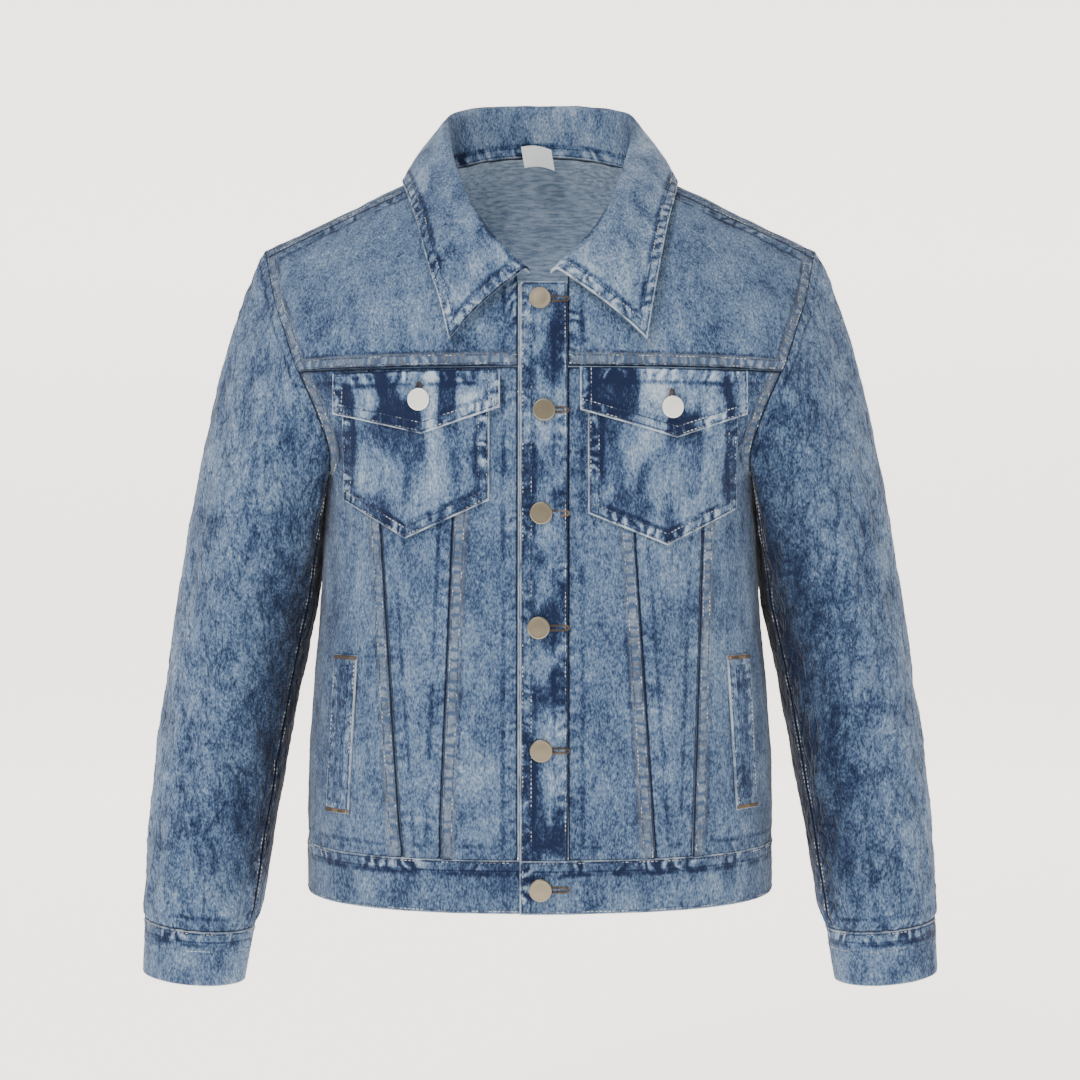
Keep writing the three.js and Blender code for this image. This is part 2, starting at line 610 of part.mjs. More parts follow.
function sleevePiece(name, side, fromTurn, toTurn, count) {
  const sign = SIDES[side];
  const start = fromTurn + SLEEVE_SEAM_TURN;
  const end = toTurn - SLEEVE_SEAM_TURN;
  const turns = evenShares(count).map((t) => lerp(start, end, t));
  turns.unshift(start - SLEEVE_SEAM_STEER);
  turns.push(end + SLEEVE_SEAM_STEER);
  const rows = [
    ...SLEEVE_HEAD_SHARES.map((share) => turns.map((turn) => sleeveHead((turn + 360) % 360, share))),
    ...SLEEVE_LOW_ROWS.map((z) => turns.map((turn) => sleeveRing((turn + 360) % 360, z))),
  ];
  for (const row of rows) for (const point of row) point.x *= sign;
  wall(name, DENIM, rows, { ...clothWall, turnOver: sign < 0, margin: 1 });
}

function cuff(side) {
  const sign = SIDES[side];
  const grid = CUFF_ROWS.map((z) => Array.from({ length: 32 }, (_, k) => {
    const turn = (k * 360) / 32 * DEG;
    const x = read(CUFF, 'z', 'centre', z) + read(CUFF, 'z', 'half', z) * Math.cos(turn);
    const y = read(CUFF, 'z', 'y', z) - read(CUFF, 'z', 'depth', z) * Math.sin(turn);
    return new THREE.Vector3(sign * x, y, z + CUFF_TILT * Math.cos(turn));
  }));
  const top = (i) => (i < 2 ? BAND_RAISE : 0.2);
  wall(`cuff_${side}`, DENIM, grid, { bottom: -WALL, top, closed: true, turnOver: sign < 0 });
}

// Collar: stand up to the fold, then the fall down to its outer edge

function collarSection(row, sign) {
  const seat = clearOfShoulders(shoulderPoint(sign * row.x, row.lift), COLLAR_SEAT);
  const fold = new THREE.Vector3(sign * row.foldX + row.lean * 0.1, row.foldY, row.foldZ);
  const edge = new THREE.Vector3(sign * row.edgeX + row.lean, row.edgeY, row.edgeZ);
  const down = edge.clone().sub(fold);
  const outward = new THREE.Vector3(down.x, down.y, 0).normalize();
  const rise = fold.clone().sub(seat).normalize();
  const points = evenShares(COLLAR_STEPS).map((t) => {
    return seat.clone().lerp(fold.clone().addScaledVector(rise, -COLLAR_ROLL), t);
  });
  const turned = fold.clone().addScaledVector(outward, COLLAR_ROLL);
  points.push(fold.clone().lerp(turned, COLLAR_ROLL_SHARE).addScaledVector(rise, -COLLAR_ROLL_DROP));
  points.push(turned);
  for (const share of COLLAR_FALL_SHARES) {
    const point = turned.clone().lerp(edge, share);
    point.addScaledVector(outward, COLLAR_BOW * Math.sin(share * Math.PI));
    points.push(clearOfShoulders(point, COLLAR_CLEAR));
  }
  return points;
}

function collar() {
  const half = COLLAR;
  const rows = [
    ...half.slice(0, -1).map((row) => collarSection(row, -1)),
    ...half.slice().reverse().map((row) => collarSection(row, 1)),
  ];
  const curves = rows[0].map((_, j) => {
    const line = rows.map((row) => row[j]);
    return new THREE.CatmullRomCurve3(line, false, 'centripetal');
  });
  const stations = evenShares((rows.length - 1) * 2);
  const smooth = stations.map((t) => curves.map((curve) => curve.getPoint(t)));
  wall('collar', DENIM, smooth, { bottom: -COLLAR_WALL / 2, top: COLLAR_WALL / 2 });
}

// Pockets, flaps and welts lie on the panels

function patch(name, shape, side, lift, thickness) {
  const sign = SIDES[side];
  const tipShare = (shape.tipX - shape.inner) / (shape.outer - shape.inner);
  const grid = PATCH_ROWS.map((v) => PATCH_COLUMNS.map((column) => {
    const u = column <= 0.5 ? column * 2 * tipShare : lerp(tipShare, 1, column * 2 - 1);
    const x = lerp(shape.inner, shape.outer, u);
    const foot = u < tipShare
      ? lerp(shape.innerFoot, shape.tip, u / tipShare)
      : lerp(shape.tip, shape.outerFoot, (u - tipShare) / (1 - tipShare));
    return frontPoint(x, lerp(shape.top, foot, v));
  }));
  const lastColumn = PATCH_COLUMNS.length - 1;
  const lastRow = PATCH_ROWS.length - 1;
  const isEdge = (i, j) => j === 0 || j === lastColumn || i === lastRow;
  const top = (i, j) => lift + thickness - (isEdge(i, j) ? PATCH_EDGE_DROP : 0);
  wall(name, DENIM, grid, { bottom: lift, top, turnOver: sign > 0 });
}

function welt(side) {
  const shape = WELTS[side];
  const grid = evenShares(8).map((v) => evenShares(4).map((u) => {
    const inner = lerp(shape.topInner, shape.footInner, v);
    const outer = lerp(shape.topOuter, shape.footOuter, v);
    return frontPoint(lerp(inner, outer, u), lerp(shape.top, shape.foot, v));
  }));
  const top = WELT_LIFT + WELT_WALL;
  wall(`welt_${side}`, DENIM, grid, { bottom: WELT_LIFT, top, turnOver: SIDES[side] > 0 });
}

// Flat tack button with a short shank

function button(name, x, z, lift) {
  const foot = frontPoint(x, z);
  const step = 4;
  const upward = frontPoint(x, z + step).sub(frontPoint(x, z - step));
  const sideways = frontPoint(x + step, z).sub(frontPoint(x - step, z));
  const normal = sideways.cross(upward).normalize();
  const seat = lift + BUTTON_SEAT;
  const profile = [
    new THREE.Vector2(0, seat),
    new THREE.Vector2(BUTTON_SHANK, seat),
    new THREE.Vector2(BUTTON_SHANK, seat + BUTTON_RIM_FOOT),
    new THREE.Vector2(BUTTON_RADIUS - BUTTON_ROUNDING, seat + BUTTON_RIM_FOOT),
    new THREE.Vector2(BUTTON_RADIUS, seat + BUTTON_RIM_MIDDLE),
    new THREE.Vector2(BUTTON_RADIUS - BUTTON_ROUNDING, seat + BUTTON_HEIGHT),
    new THREE.Vector2(0, seat + BUTTON_HEIGHT),
  ];
  const turned = new THREE.Quaternion().setFromUnitVectors(new THREE.Vector3(0, 0, 1), normal);
  const positions = [];
  const put = (radius, angle, height) => {
    const point = new THREE.Vector3(radius * Math.cos(angle), radius * Math.sin(angle), height);
    point.applyQuaternion(turned).add(foot);
    positions.push(point.x, point.y, point.z);
  };
  put(0, 0, profile[0].y);
  const rings = profile.slice(1, -1);
  for (const ring of rings) {
    for (let k = 0; k < BUTTON_SIDES; k += 1) put(ring.x, (k * 2 * Math.PI) / BUTTON_SIDES, ring.y);
  }
  put(0, 0, profile[profile.length - 1].y);
  const at = (ring, k) => 1 + ring * BUTTON_SIDES + (k % BUTTON_SIDES);
  const topIndex = 1 + rings.length * BUTTON_SIDES;
  const index = [];
  for (let k = 0; k < BUTTON_SIDES; k += 1) {
    index.push(0, at(0, k + 1), at(0, k));
    for (let ring = 0; ring < rings.length - 1; ring += 1) {
      index.push(at(ring, k), at(ring, k + 1), at(ring + 1, k + 1));
      index.push(at(ring, k), at(ring + 1, k + 1), at(ring + 1, k));
    }
    index.push(topIndex, at(rings.length - 1, k), at(rings.length - 1, k + 1));
  }
  addSolid(name, PEWTER, positions, index);
}

// Blank label hanging from the back neck seam

function neckLabel() {
  const shape = NECK_LABEL;
  const grid = evenShares(4).map((v) => evenShares(6).map((u) => {
    const x = lerp(shape.fromX, shape.toX, u) + shape.skew * v;
    const y = shape.y - shape.slope * v - shape.curl * Math.sin(u * Math.PI * 1.5);
    const z = lerp(shape.top, shape.foot, v) + shape.arch * Math.sin(u * Math.PI);
    return new THREE.Vector3(x, y, z);
  }));
  wall('neck_label', LABEL_WHITE, grid, { bottom: -shape.wall, top: 0 });
}

for (const side of ['right', 'left']) {
  frontPanels(side);
  frontYoke(side);
  sleevePiece(`sleeve_upper_${side}`, side, SLEEVE_SEAM_BACK - 360, SLEEVE_SEAM_FRONT, 23);
  sleevePiece(`sleeve_under_${side}`, side, SLEEVE_SEAM_FRONT, SLEEVE_SEAM_BACK, 8);
  cuff(side);
  patch(`chest_pocket_${side}`, POCKETS[side], side, POCKET_LIFT, POCKET_WALL);
  patch(`pocket_flap_${side}`, FLAPS[side], side, FLAP_LIFT, FLAP_WALL);
  welt(side);
  button(`button_flap_${side}`, FLAP_BUTTONS[side].x, FLAP_BUTTONS[side].z, FLAP_LIFT + FLAP_WALL);
}
backYoke();
backPanel();
placketWall('placket_right', STAND_LEFT_X, STAND_RIGHT_X, PLACKET_TOP_Z, -WALL, WALL);
placketWall('placket_left', PLACKET_LEFT_X, PLACKET_RIGHT_X, PLACKET_TOP_Z, PLACKET_LIFT, PLACKET_WALL);
waistband();
collar();
neckLabel();
FRONT_BUTTONS.forEach((place, k) => {
  button(`button_front_${k + 1}`, place.x, place.z, PLACKET_LIFT + PLACKET_WALL);
});
button('button_front_6', WAIST_BUTTON.x, WAIST_BUTTON.z, WALL + 1.4);

export default jacket;
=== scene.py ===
# %% [markdown]
# # A denim jacket, filled out as worn
# The jacket is sewn from flat panels of twill. Each panel here is a thin shell that follows
# the same sections as its solid, with finer folds, seam puckers, stitches and a stone wash.

# %% Load the frame
import math

import bpy
import numpy as np
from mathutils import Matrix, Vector


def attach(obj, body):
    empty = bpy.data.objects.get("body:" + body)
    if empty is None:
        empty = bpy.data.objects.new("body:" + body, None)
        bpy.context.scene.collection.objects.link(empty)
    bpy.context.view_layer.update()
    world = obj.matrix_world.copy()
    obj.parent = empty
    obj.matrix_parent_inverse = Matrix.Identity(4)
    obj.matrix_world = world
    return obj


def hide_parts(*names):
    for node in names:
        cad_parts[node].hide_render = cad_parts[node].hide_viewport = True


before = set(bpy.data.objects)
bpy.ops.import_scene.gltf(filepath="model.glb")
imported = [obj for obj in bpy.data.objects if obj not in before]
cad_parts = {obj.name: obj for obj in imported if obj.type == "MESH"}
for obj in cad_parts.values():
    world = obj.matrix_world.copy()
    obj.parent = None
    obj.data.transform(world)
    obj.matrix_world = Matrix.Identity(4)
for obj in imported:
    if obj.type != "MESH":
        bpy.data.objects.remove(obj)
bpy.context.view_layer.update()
print("nodes", len(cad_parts))

# %% [markdown]
# ## Sections of the body
# A tailor's form is described by its girths. Each row gives a level ring of the body:
# half width, depth to the front and to the back, and how square the ring is. Millimetres.

# %% Body tables
WALL = 1.8
SEAM_HALF_GAP = 0.2
BAND_WIDTH = 10.5
BAND_RAISE = 0.8
SEAM_LAP = 1.2
YOKE_Z = -168
WAIST_SEAM_Z = -541.5
HEM_Z = -581
FRONT_ROUND = 1.3
BACK_ROUND = 1.0
MM = 0.001


def table(columns, rows):
    """A short table with named columns."""
    return dict(zip(columns.split(), np.array(rows, dtype=float).T))


TORSO = table("z half front back power", [
    (-581, 188, 128, 121, 2.4), (-495, 188.5, 128, 122, 2.4), (-431, 185, 127, 122, 2.4),
    (-354, 178.5, 125, 121, 2.35), (-300, 176.5, 123, 121, 2.3), (-255, 176, 121, 121, 2.3),
    (-237, 186, 120, 121.5, 2.25), (-200, 211, 117.5, 122, 2.2), (-168, 232, 115, 122, 2.2),
])
RIDGE = table("x front back", [
    (0, 39, 50), (22, 37.5, 47), (42, 33.5, 39), (58, 22, 27),
    (70, 12, 17), (80, 7, 7), (110, -8, -8), (226, -64, -64),
])
ARMHOLE_HIGH = table("lift x", [
    (0, 189), (22, 202), (37, 212), (60, 221), (90, 226), (120, 221), (143, 212), (158, 202), (180, 189),
])
ARMHOLE_LOW = table("z angle", [
    (-255, 90), (-250, 72), (-240, 62.5), (-225, 57.5), (-200, 54.5), (-168, 52.9),
])


def read(rows, by, key, value):
    """Smooth reading of one column of a table at values of another."""
    x, y = rows[by], rows[key]
    if x[-1] < x[0]:
        x, y = x[::-1], y[::-1]
    value = np.clip(value, x[0], x[-1])
    i = np.clip(np.searchsorted(x, value, side="right") - 1, 0, len(x) - 2)
    slopes = np.empty_like(y)
    slopes[1:-1] = (y[2:] - y[:-2]) / (x[2:] - x[:-2])
    slopes[0] = (y[1] - y[0]) / (x[1] - x[0])
    slopes[-1] = (y[-1] - y[-2]) / (x[-1] - x[-2])
    span = x[i + 1] - x[i]
    t = (value - x[i]) / span
    start = (2 * t**3 - 3 * t**2 + 1) * y[i] + (t**3 - 2 * t**2 + t) * span * slopes[i]
    return start + (3 * t**2 - 2 * t**3) * y[i + 1] + (t**3 - t**2) * span * slopes[i + 1]


def lerp(a, b, t):
    return a + (b - a) * t


def signed_power(value, power):
    return np.sign(value) * np.abs(value) ** power


def points(x, y, z):
    return np.stack(np.broadcast_arrays(x, y, z), axis=-1).astype(float)


# %% [markdown]
# ## Soft folds
# Denim doesn't hang in sharp pleats. It keeps long shallow folds where the wearer bends,
# and short ones where cloth is eased into a band. Each row is one fold.

# %% Folds of the body
BODY_FOLDS = table("x z slant long wide depth", [
    (60, -250, 0.12, 90, 9, 1.2), (-58, -330, -0.1, 95, 9, 1.1),
    (150, -300, -0.25, 70, 11, -1.8), (-150, -300, 0.25, 70, 11, -1.8),
    (98, -430, 0.05, 90, 8, 1.2), (-92, -440, -0.05, 80, 8, 1.2),
    (128, -505, 0.1, 45, 8, 1.5), (-132, -500, -0.1, 45, 8, 1.5),
    (48, -400, 0.04, 70, 6, 0.7), (-50, -455, -0.06, 60, 6, 0.8), (-112, -385, 0.1, 50, 5, -0.7),
    (108, -352, -0.12, 45, 5, -0.7), (36, -520, 0.0, 26, 4, 1.0), (-34, -515, 0.0, 28, 4, 0.9),
    (62, -522, 0.1, 24, 4, -0.9), (-64, -520, 0.1, 24, 4, -0.9), (98, -524, 0.0, 22, 4, 0.9),
    (-92, -524, 0.0, 22, 4, 0.9), (-152, -520, 0.1, 24, 5, 1.0), (150, -520, 0.1, 24, 5, 1.0),
])


def fold_height(folds, aside_of, z):
    """Sum of the table's ridges and troughs."""
    height = 0
    for k in range(len(folds["z"])):
        row = {key: column[k] for key, column in folds.items()}
        along = z - row["z"]
        aside = aside_of(row) - row["slant"] * along
        height = height + row["depth"] * np.exp(-((aside / row["wide"]) ** 2) - (along / row["long"]) ** 2)
    return height


def waves(p, size, seed, count=9):
    """Smooth unevenness, the same at every run: a few plane waves in fixed directions."""
    chance = np.random.default_rng(seed)
    total = 0
    for _ in range(count):
        direction = chance.normal(size=3)
        direction *= chance.uniform(0.6, 1.6) / np.linalg.norm(direction)
        total = total + np.sin(p @ direction * (2 * math.pi / size) + chance.uniform(0, 2 * math.pi))
    return total / math.sqrt(count)


# %% [markdown]
# ## The body's surface
# Below the yoke seam the body is a stack of rings. Above it each slice is an arc that lifts
# from the front seam over the shoulder ridge to the back seam.

# %% Surface of the body
def ring_point(angle, z):
    radians = np.radians(angle)
    sine, cosine = np.sin(radians), np.cos(radians)
    half = read(TORSO, "z", "half", z)
    rounding = 2 / read(TORSO, "z", "power", z)
    depth = np.where(cosine > 0, read(TORSO, "z", "front", z), read(TORSO, "z", "back", z))
    x = half * signed_power(sine, rounding)
    y = -depth * signed_power(cosine, rounding)
    fold = fold_height(BODY_FOLDS, lambda row: x - row["x"], z)
    return points(x, y - np.where(cosine > 0, fold * cosine, 0), z)


def ring_angle(x, z):
    half = read(TORSO, "z", "half", z)
    power = read(TORSO, "z", "power", z)
    return np.sign(x) * np.degrees(np.arcsin(np.minimum(1, np.abs(x) / half) ** (power / 2)))


def yoke_depth(x, is_back):
    half, power = TORSO["half"][-1], TORSO["power"][-1]
    share = 1 - (np.minimum(np.abs(x), half) / half) ** power
    return np.where(is_back, TORSO["back"][-1], TORSO["front"][-1]) * share ** (1 / power)


def shoulder_point(x, lift):
    is_back = lift > 90
    rounding = np.where(is_back, BACK_ROUND, FRONT_ROUND)
    ridge = np.where(is_back, read(RIDGE, "x", "back", np.abs(x)), read(RIDGE, "x", "front", np.abs(x)))
    y = -yoke_depth(x, is_back) * signed_power(np.cos(np.radians(lift)), rounding)
    z = YOKE_Z + (ridge - YOKE_Z) * np.maximum(0, np.sin(np.radians(lift))) ** rounding
    return points(x, y, z)


def front_point(x, z):
    x, z = np.broadcast_arrays(np.asarray(x, float), np.asarray(z, float))
    low = ring_point(ring_angle(x, np.minimum(z, YOKE_Z)), np.minimum(z, YOKE_Z))
    ridge = read(RIDGE, "x", "front", np.abs(x))
    share = np.clip((z - YOKE_Z) / (ridge - YOKE_Z), 0, 1)
    high = shoulder_point(x, np.degrees(np.arcsin(share ** (1 / FRONT_ROUND))))
    return np.where((z > YOKE_Z)[..., None], high, low)


def clear_of_shoulders(p, clear):
    """Moves points away from the chest until they clear the shoulders."""
    is_back = p[..., 1] > 0
    rounding = np.where(is_back, BACK_ROUND, FRONT_ROUND)
    side = np.abs(p[..., 0])
    ridge = np.where(is_back, read(RIDGE, "x", "back", side), read(RIDGE, "x", "front", side))
    height = p[..., 2] - YOKE_Z
    share_y = (np.abs(p[..., 1]) / yoke_depth(p[..., 0], is_back)) ** (2 / rounding)
    share_z = (np.maximum(height, 0) / (ridge - YOKE_Z)) ** (2 / rounding)
    reach = np.hypot(p[..., 1], height)
    surface = reach / (share_y + share_z) ** (rounding / 2)
    grow = np.maximum(1, (surface + clear) / reach)
    return points(p[..., 0], p[..., 1] * grow, YOKE_Z + height * grow)


# %% [markdown]
# ## A shell of cloth
# Every panel is a grid of points made into a closed wall. Its edges are rounded as a turned
# seam is. Along each sewn edge the thread draws the cloth in, so short puckers run across
# the seam. The distances to the edges are kept with the mesh, for the stitches and the wash.

# %% Cloth helpers
EDGE_ROUND = 0.9
PUCKER_SIZE = 7.0
PUCKER_REACH = 7.0
PUCKER_DEPTH = 0.75
GRID_STEP = 3.2
CREASE_SLANT = np.array([[1.0, 0, 0.25], [0, 1.0, 0.25], [0.35, 0.35, 0.42]])
FAR_SEAM = 60.0
FINE_EDGE = 0.8
MATERIAL_NAMES = ("denim", "pewter", "label_cloth", "thread", "thread_ochre", "pewter_highlight")
MATERIALS = {name: bpy.data.materials.new(name) for name in MATERIAL_NAMES}
SHEETS = {}


def shares(count, length):
    """Even steps from 0 to 1, with a fine step at both ends for the rounded edge."""
    fine = FINE_EDGE / length
    even = np.linspace(0, 1, count + 1)[1:-1]
    return np.unique(np.concatenate([[0, fine / 2, fine], even, [1 - fine, 1 - fine / 2, 1]]))


def lengths(grid, axis):
    step = np.linalg.norm(np.diff(grid, axis=axis), axis=-1)
    zero = np.zeros_like(np.take(step, [0], axis=axis))
    return np.concatenate([zero, np.cumsum(step, axis=axis)], axis=axis)


def grid_normals(grid, turn_over, closed=False):
    padded = np.concatenate([grid[:, -2:-1], grid, grid[:, 1:2]], axis=1) if closed else grid
    along, across = np.gradient(padded, axis=0), np.gradient(padded, axis=1)
    normals = np.cross(across, along)
    if closed:
        normals = normals[:, 1:-1]
    normals /= np.linalg.norm(normals, axis=-1, keepdims=True) + 1e-12
    return -normals if turn_over else normals


def cloth(name, grid, turn_over=False, bottom=-WALL, thickness=WALL, sewn="lrtb", band=None,
          closed=False, tone=0.0, uneven=0.35, creased=0.35, material="denim",
          free="", stitched_down="", marks=0.3, dye_and_shade=0.0):
    """One panel as a closed shell. sewn names its stitched edges: left, right, top, bottom."""
    rows, columns = grid.shape[:2]
    across, along = lengths(grid, 1), lengths(grid, 0)
    edge = {
        "l": across, "r": across[:, -1:] - across, "t": along, "b": along[-1:] - along,
    }
    if closed:
        edge["l"] = edge["r"] = np.full_like(across, FAR_SEAM)
    normals = grid_normals(grid, turn_over, closed)
    seam = np.full((rows, columns), FAR_SEAM)
    rope = np.zeros((rows, columns))
    for key in sewn:
        nearer = edge[key] < seam
        seam = np.where(nearer, edge[key], seam)
        rope = np.where(nearer, along if key in "lr" else across, rope)
    pucker = PUCKER_DEPTH * np.exp(-((seam - 5) / PUCKER_REACH) ** 2)
    pucker = pucker * (waves(grid, PUCKER_SIZE, 7) + 0.6 * waves(grid, PUCKER_SIZE * 2, 8) - 0.6) * 0.5
    slanted = grid @ CREASE_SLANT
    crease = 0.45 - np.minimum(np.abs(waves(slanted, 30, 11)), np.abs(waves(slanted, 19, 12)) + 0.12)
    relief = uneven * waves(grid, 34, 3) + uneven * 0.35 * waves(grid, 13, 4) + creased * crease + pucker
    relief *= np.clip(np.minimum.reduce(list(edge.values())) / 4, 0.15, 1)
    raised = np.zeros((rows, columns))
    if band:
        raised = BAND_RAISE * np.clip((BAND_WIDTH - edge[band]) / 0.9 + 0.5, 0, 1)
    nearest = np.minimum.reduce(list(edge.values()))
    drop = EDGE_ROUND * (1 - np.sqrt(1 - np.clip(1 - nearest / FINE_EDGE, 0, 1) ** 2))
    outer = grid + normals * (bottom + thickness + relief + raised - drop)[..., None]
    inner = grid + normals * (bottom + relief * 0.8)[..., None]
    if closed:
        outer[:, -1], inner[:, -1] = outer[:, 0], inner[:, 0]
    mesh_columns = columns - 1 if closed else columns
    used = (outer[:, :mesh_columns], inner[:, :mesh_columns])
    vertices = np.concatenate([layer.reshape(-1, 3) for layer in used]) * MM
    index = np.arange(rows * mesh_columns).reshape(rows, mesh_columns)
    right = np.roll(index, -1, axis=1) if closed else None
    a, b = (index, right) if closed else (index[:, :-1], index[:, 1:])
    faces = [np.stack([a[:-1], b[:-1], b[1:], a[1:]], -1).reshape(-1, 4)]
    under = rows * mesh_columns
    faces.append(faces[0][:, ::-1] + under)
    faces.append(np.stack([a[0] + under, b[0] + under, b[0], a[0]], -1))
    faces.append(np.stack([a[-1], b[-1], b[-1] + under, a[-1] + under], -1))
    if not closed:
        first, last = index[:, 0], index[:, -1]
        faces.append(np.stack([first[:-1], first[1:], first[1:] + under, first[:-1] + under], -1))
        faces.append(np.stack([last[1:], last[:-1], last[:-1] + under, last[1:] + under], -1))
    faces = np.concatenate(faces)
    if turn_over:
        faces = faces[:, ::-1]
    mesh = bpy.data.meshes.new(name + "_cloth")
    mesh.from_pydata(vertices.tolist(), [], faces.tolist())
    mesh.validate()
    mesh.shade_smooth()
    fray = np.minimum.reduce([edge[key] for key in free] + [np.full((rows, columns), FAR_SEAM)])
    beside = np.minimum.reduce([edge[key] for key in stitched_down] + [np.full((rows, columns), FAR_SEAM)])
    # One attribute darkens each piece: a dye tone on most pieces (below zero it lightens), and painted shade
    # on the sleeves and side panels where they lie beside the body.
    keep = {
        "band": np.clip((BAND_WIDTH - beside) / 1.5 + 0.5, 0, 1),
        "creased": np.full((rows, columns), creased), "seam": seam, "rope": rope, "fray": fray,
        "height": np.clip(relief / 1.5, -1, 1),
        "marks": np.full((rows, columns), marks), "dye_and_shade": dye_and_shade + np.zeros((rows, columns)),
    }
    for key, values in keep.items():
        layer = mesh.attributes.new(key, "FLOAT", "POINT")
        cut = values[:, :mesh_columns].ravel()
        layer.data.foreach_set("value", np.concatenate([cut, cut]).astype(np.float32))
    reverse = mesh.attributes.new("reverse", "FLOAT", "POINT")
    reverse.data.foreach_set("value", np.repeat([0.0, 1.0], under).astype(np.float32))
    tones = mesh.attributes.new("tone", "FLOAT", "POINT")
    tones.data.foreach_set("value", np.full(2 * under, tone, np.float32))
    warp = mesh.uv_layers.new(name="weave")
    flat = np.stack([across[:, :mesh_columns].ravel(), along[:, :mesh_columns].ravel()], -1) * MM
    flat = np.concatenate([flat, flat])
    corner = np.empty(len(mesh.loops), dtype=np.int32)
    mesh.loops.foreach_get("vertex_index", corner)
    warp.data.foreach_set("uv", flat[corner].astype(np.float32).ravel())
    piece = bpy.data.objects.new(name + "_cloth", mesh)
    bpy.context.collection.objects.link(piece)
    mesh.materials.append(MATERIALS[material])
    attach(piece, "root")
    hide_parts(name)
    width, length = float(across[:, -1].max()), float(along[-1].max())
    SHEETS[name] = {"grid": outer, "edge": edge, "normals": normals, "size": (width, length)}
    print(name, "flat", round(width), "by", round(length), "mm,", len(faces) * 2, "triangles")
    return piece


def steps(length):
    return max(4, int(round(length / GRID_STEP)))


# %% [markdown]
# ## Fronts
# Each front is cut in three panels, so the two V seams can shape it. The seam allowance is
# turned to one side and stitched down, which leaves a raised band beside each seam.

# %% Front panels
STAND = {"right": -16.6, "left": 20.8}
PANEL_SEAMS = {
    "right": {"inner": (-66, -76), "outer": (-122, -105)},
    "left": {"inner": (71, 87), "outer": (125, 116)},
}
SEAM_TOP_Z, SEAM_FOOT_Z = -290, -537
SIDES = {"right": -1, "left": 1}
PANEL_TOP_Z, PANEL_FOOT_Z = -168.9, -541.2


def seam_x(side, line, z):
    top, foot = PANEL_SEAMS[side][line]
    return lerp(top, foot, (z - SEAM_TOP_Z) / (SEAM_FOOT_Z - SEAM_TOP_Z))


def stand_edge(side):
    return STAND[side] + SIDES[side] * 2 * SEAM_HALF_GAP


def waist_pucker(grid, seed):
    """Cloth eased into the band: short gathers that fade upward."""
    z = grid[..., 2]
    fade = np.exp(-np.maximum(z - PANEL_FOOT_Z, 0) / 16) * np.clip((z - PANEL_FOOT_Z) / 5, 0.2, 1)
    around = np.stack([grid[..., 0], grid[..., 1], z * 0.15], -1)
    inward = np.stack([grid[..., 0], grid[..., 1], 0 * z], -1)
    inward /= np.linalg.norm(inward, axis=-1, keepdims=True)
    return grid - inward * (1.3 * fade * (0.6 + waves(around, 15, seed)))[..., None]


panel_length = PANEL_TOP_Z - PANEL_FOOT_Z
z_rows = lerp(PANEL_TOP_Z, PANEL_FOOT_Z, shares(steps(panel_length), panel_length))[:, None]
for side, sign in SIDES.items():
    gap = sign * SEAM_HALF_GAP
    turn = sign > 0
    inner_x, outer_x = seam_x(side, "inner", z_rows), seam_x(side, "outer", z_rows)
    across = shares(20, 60)[None, :]
    centre = front_point(lerp(stand_edge(side), inner_x - gap, across), z_rows)
    cloth(f"front_centre_{side}", waist_pucker(centre, 21), turn, band="r", stitched_down="r",
          dye_and_shade=0.04)
    across = shares(17, 45)[None, :]
    middle = front_point(lerp(inner_x + gap, outer_x - gap, across), z_rows)
    cloth(f"front_middle_{side}", waist_pucker(middle, 21), turn, dye_and_shade=0.06)
    across = shares(36, 115)[None, :]
    start = ring_angle(outer_x + gap, z_rows)
    end = sign * (read(ARMHOLE_LOW, "z", "angle", z_rows) - SEAM_HALF_GAP)
    outer = ring_point(lerp(start, end, across), z_rows)
    # The side panel is painted darker toward the side seam: painted shade beside the sleeve.
    cloth(f"front_side_{side}", waist_pucker(outer, 21), turn, band="l", stitched_down="lr",
          dye_and_shade=0.03 + 0.25 * across)

# %% [markdown]
# ## Yokes
# The front yoke runs from the placket to the armhole and up to the shoulder seam. The back
# yoke is one piece: it passes over the shoulder ridge, so the seam lies on the front.

# %% Yokes
FRONT_YOKE = table("t inner_x inner_lift outer_lift", [
    (0, 0, 0, 0), (1, 0, 5.6, 5.4), (3, 0, 16, 16), (4, 24, 29.6, 27), (5, 42, 35.7, 38),
    (6, 58, 46, 50), (7, 72, 61, 61), (8, 79, 70.4, 70.4),
])
for side, sign in SIDES.items():
    rows = (shares(60, 190) * 8)[:, None]
    inner_x = np.interp(rows, FRONT_YOKE["t"], FRONT_YOKE["inner_x"])
    inner_x = np.maximum(inner_x, abs(stand_edge(side)))
    inner_lift = np.interp(rows, FRONT_YOKE["t"], FRONT_YOKE["inner_lift"])
    outer_lift = np.interp(rows, FRONT_YOKE["t"], FRONT_YOKE["outer_lift"])
    outer_x = read(ARMHOLE_HIGH, "lift", "x", outer_lift) - SEAM_HALF_GAP
    across = shares(52, 170)[None, :]
    yoke = shoulder_point(sign * lerp(inner_x, outer_x, across), lerp(inner_lift, outer_lift, across))
    cloth(f"front_yoke_{side}", yoke[::-1], sign > 0, band="b", stitched_down="br",
          uneven=0.45, marks=0.8)

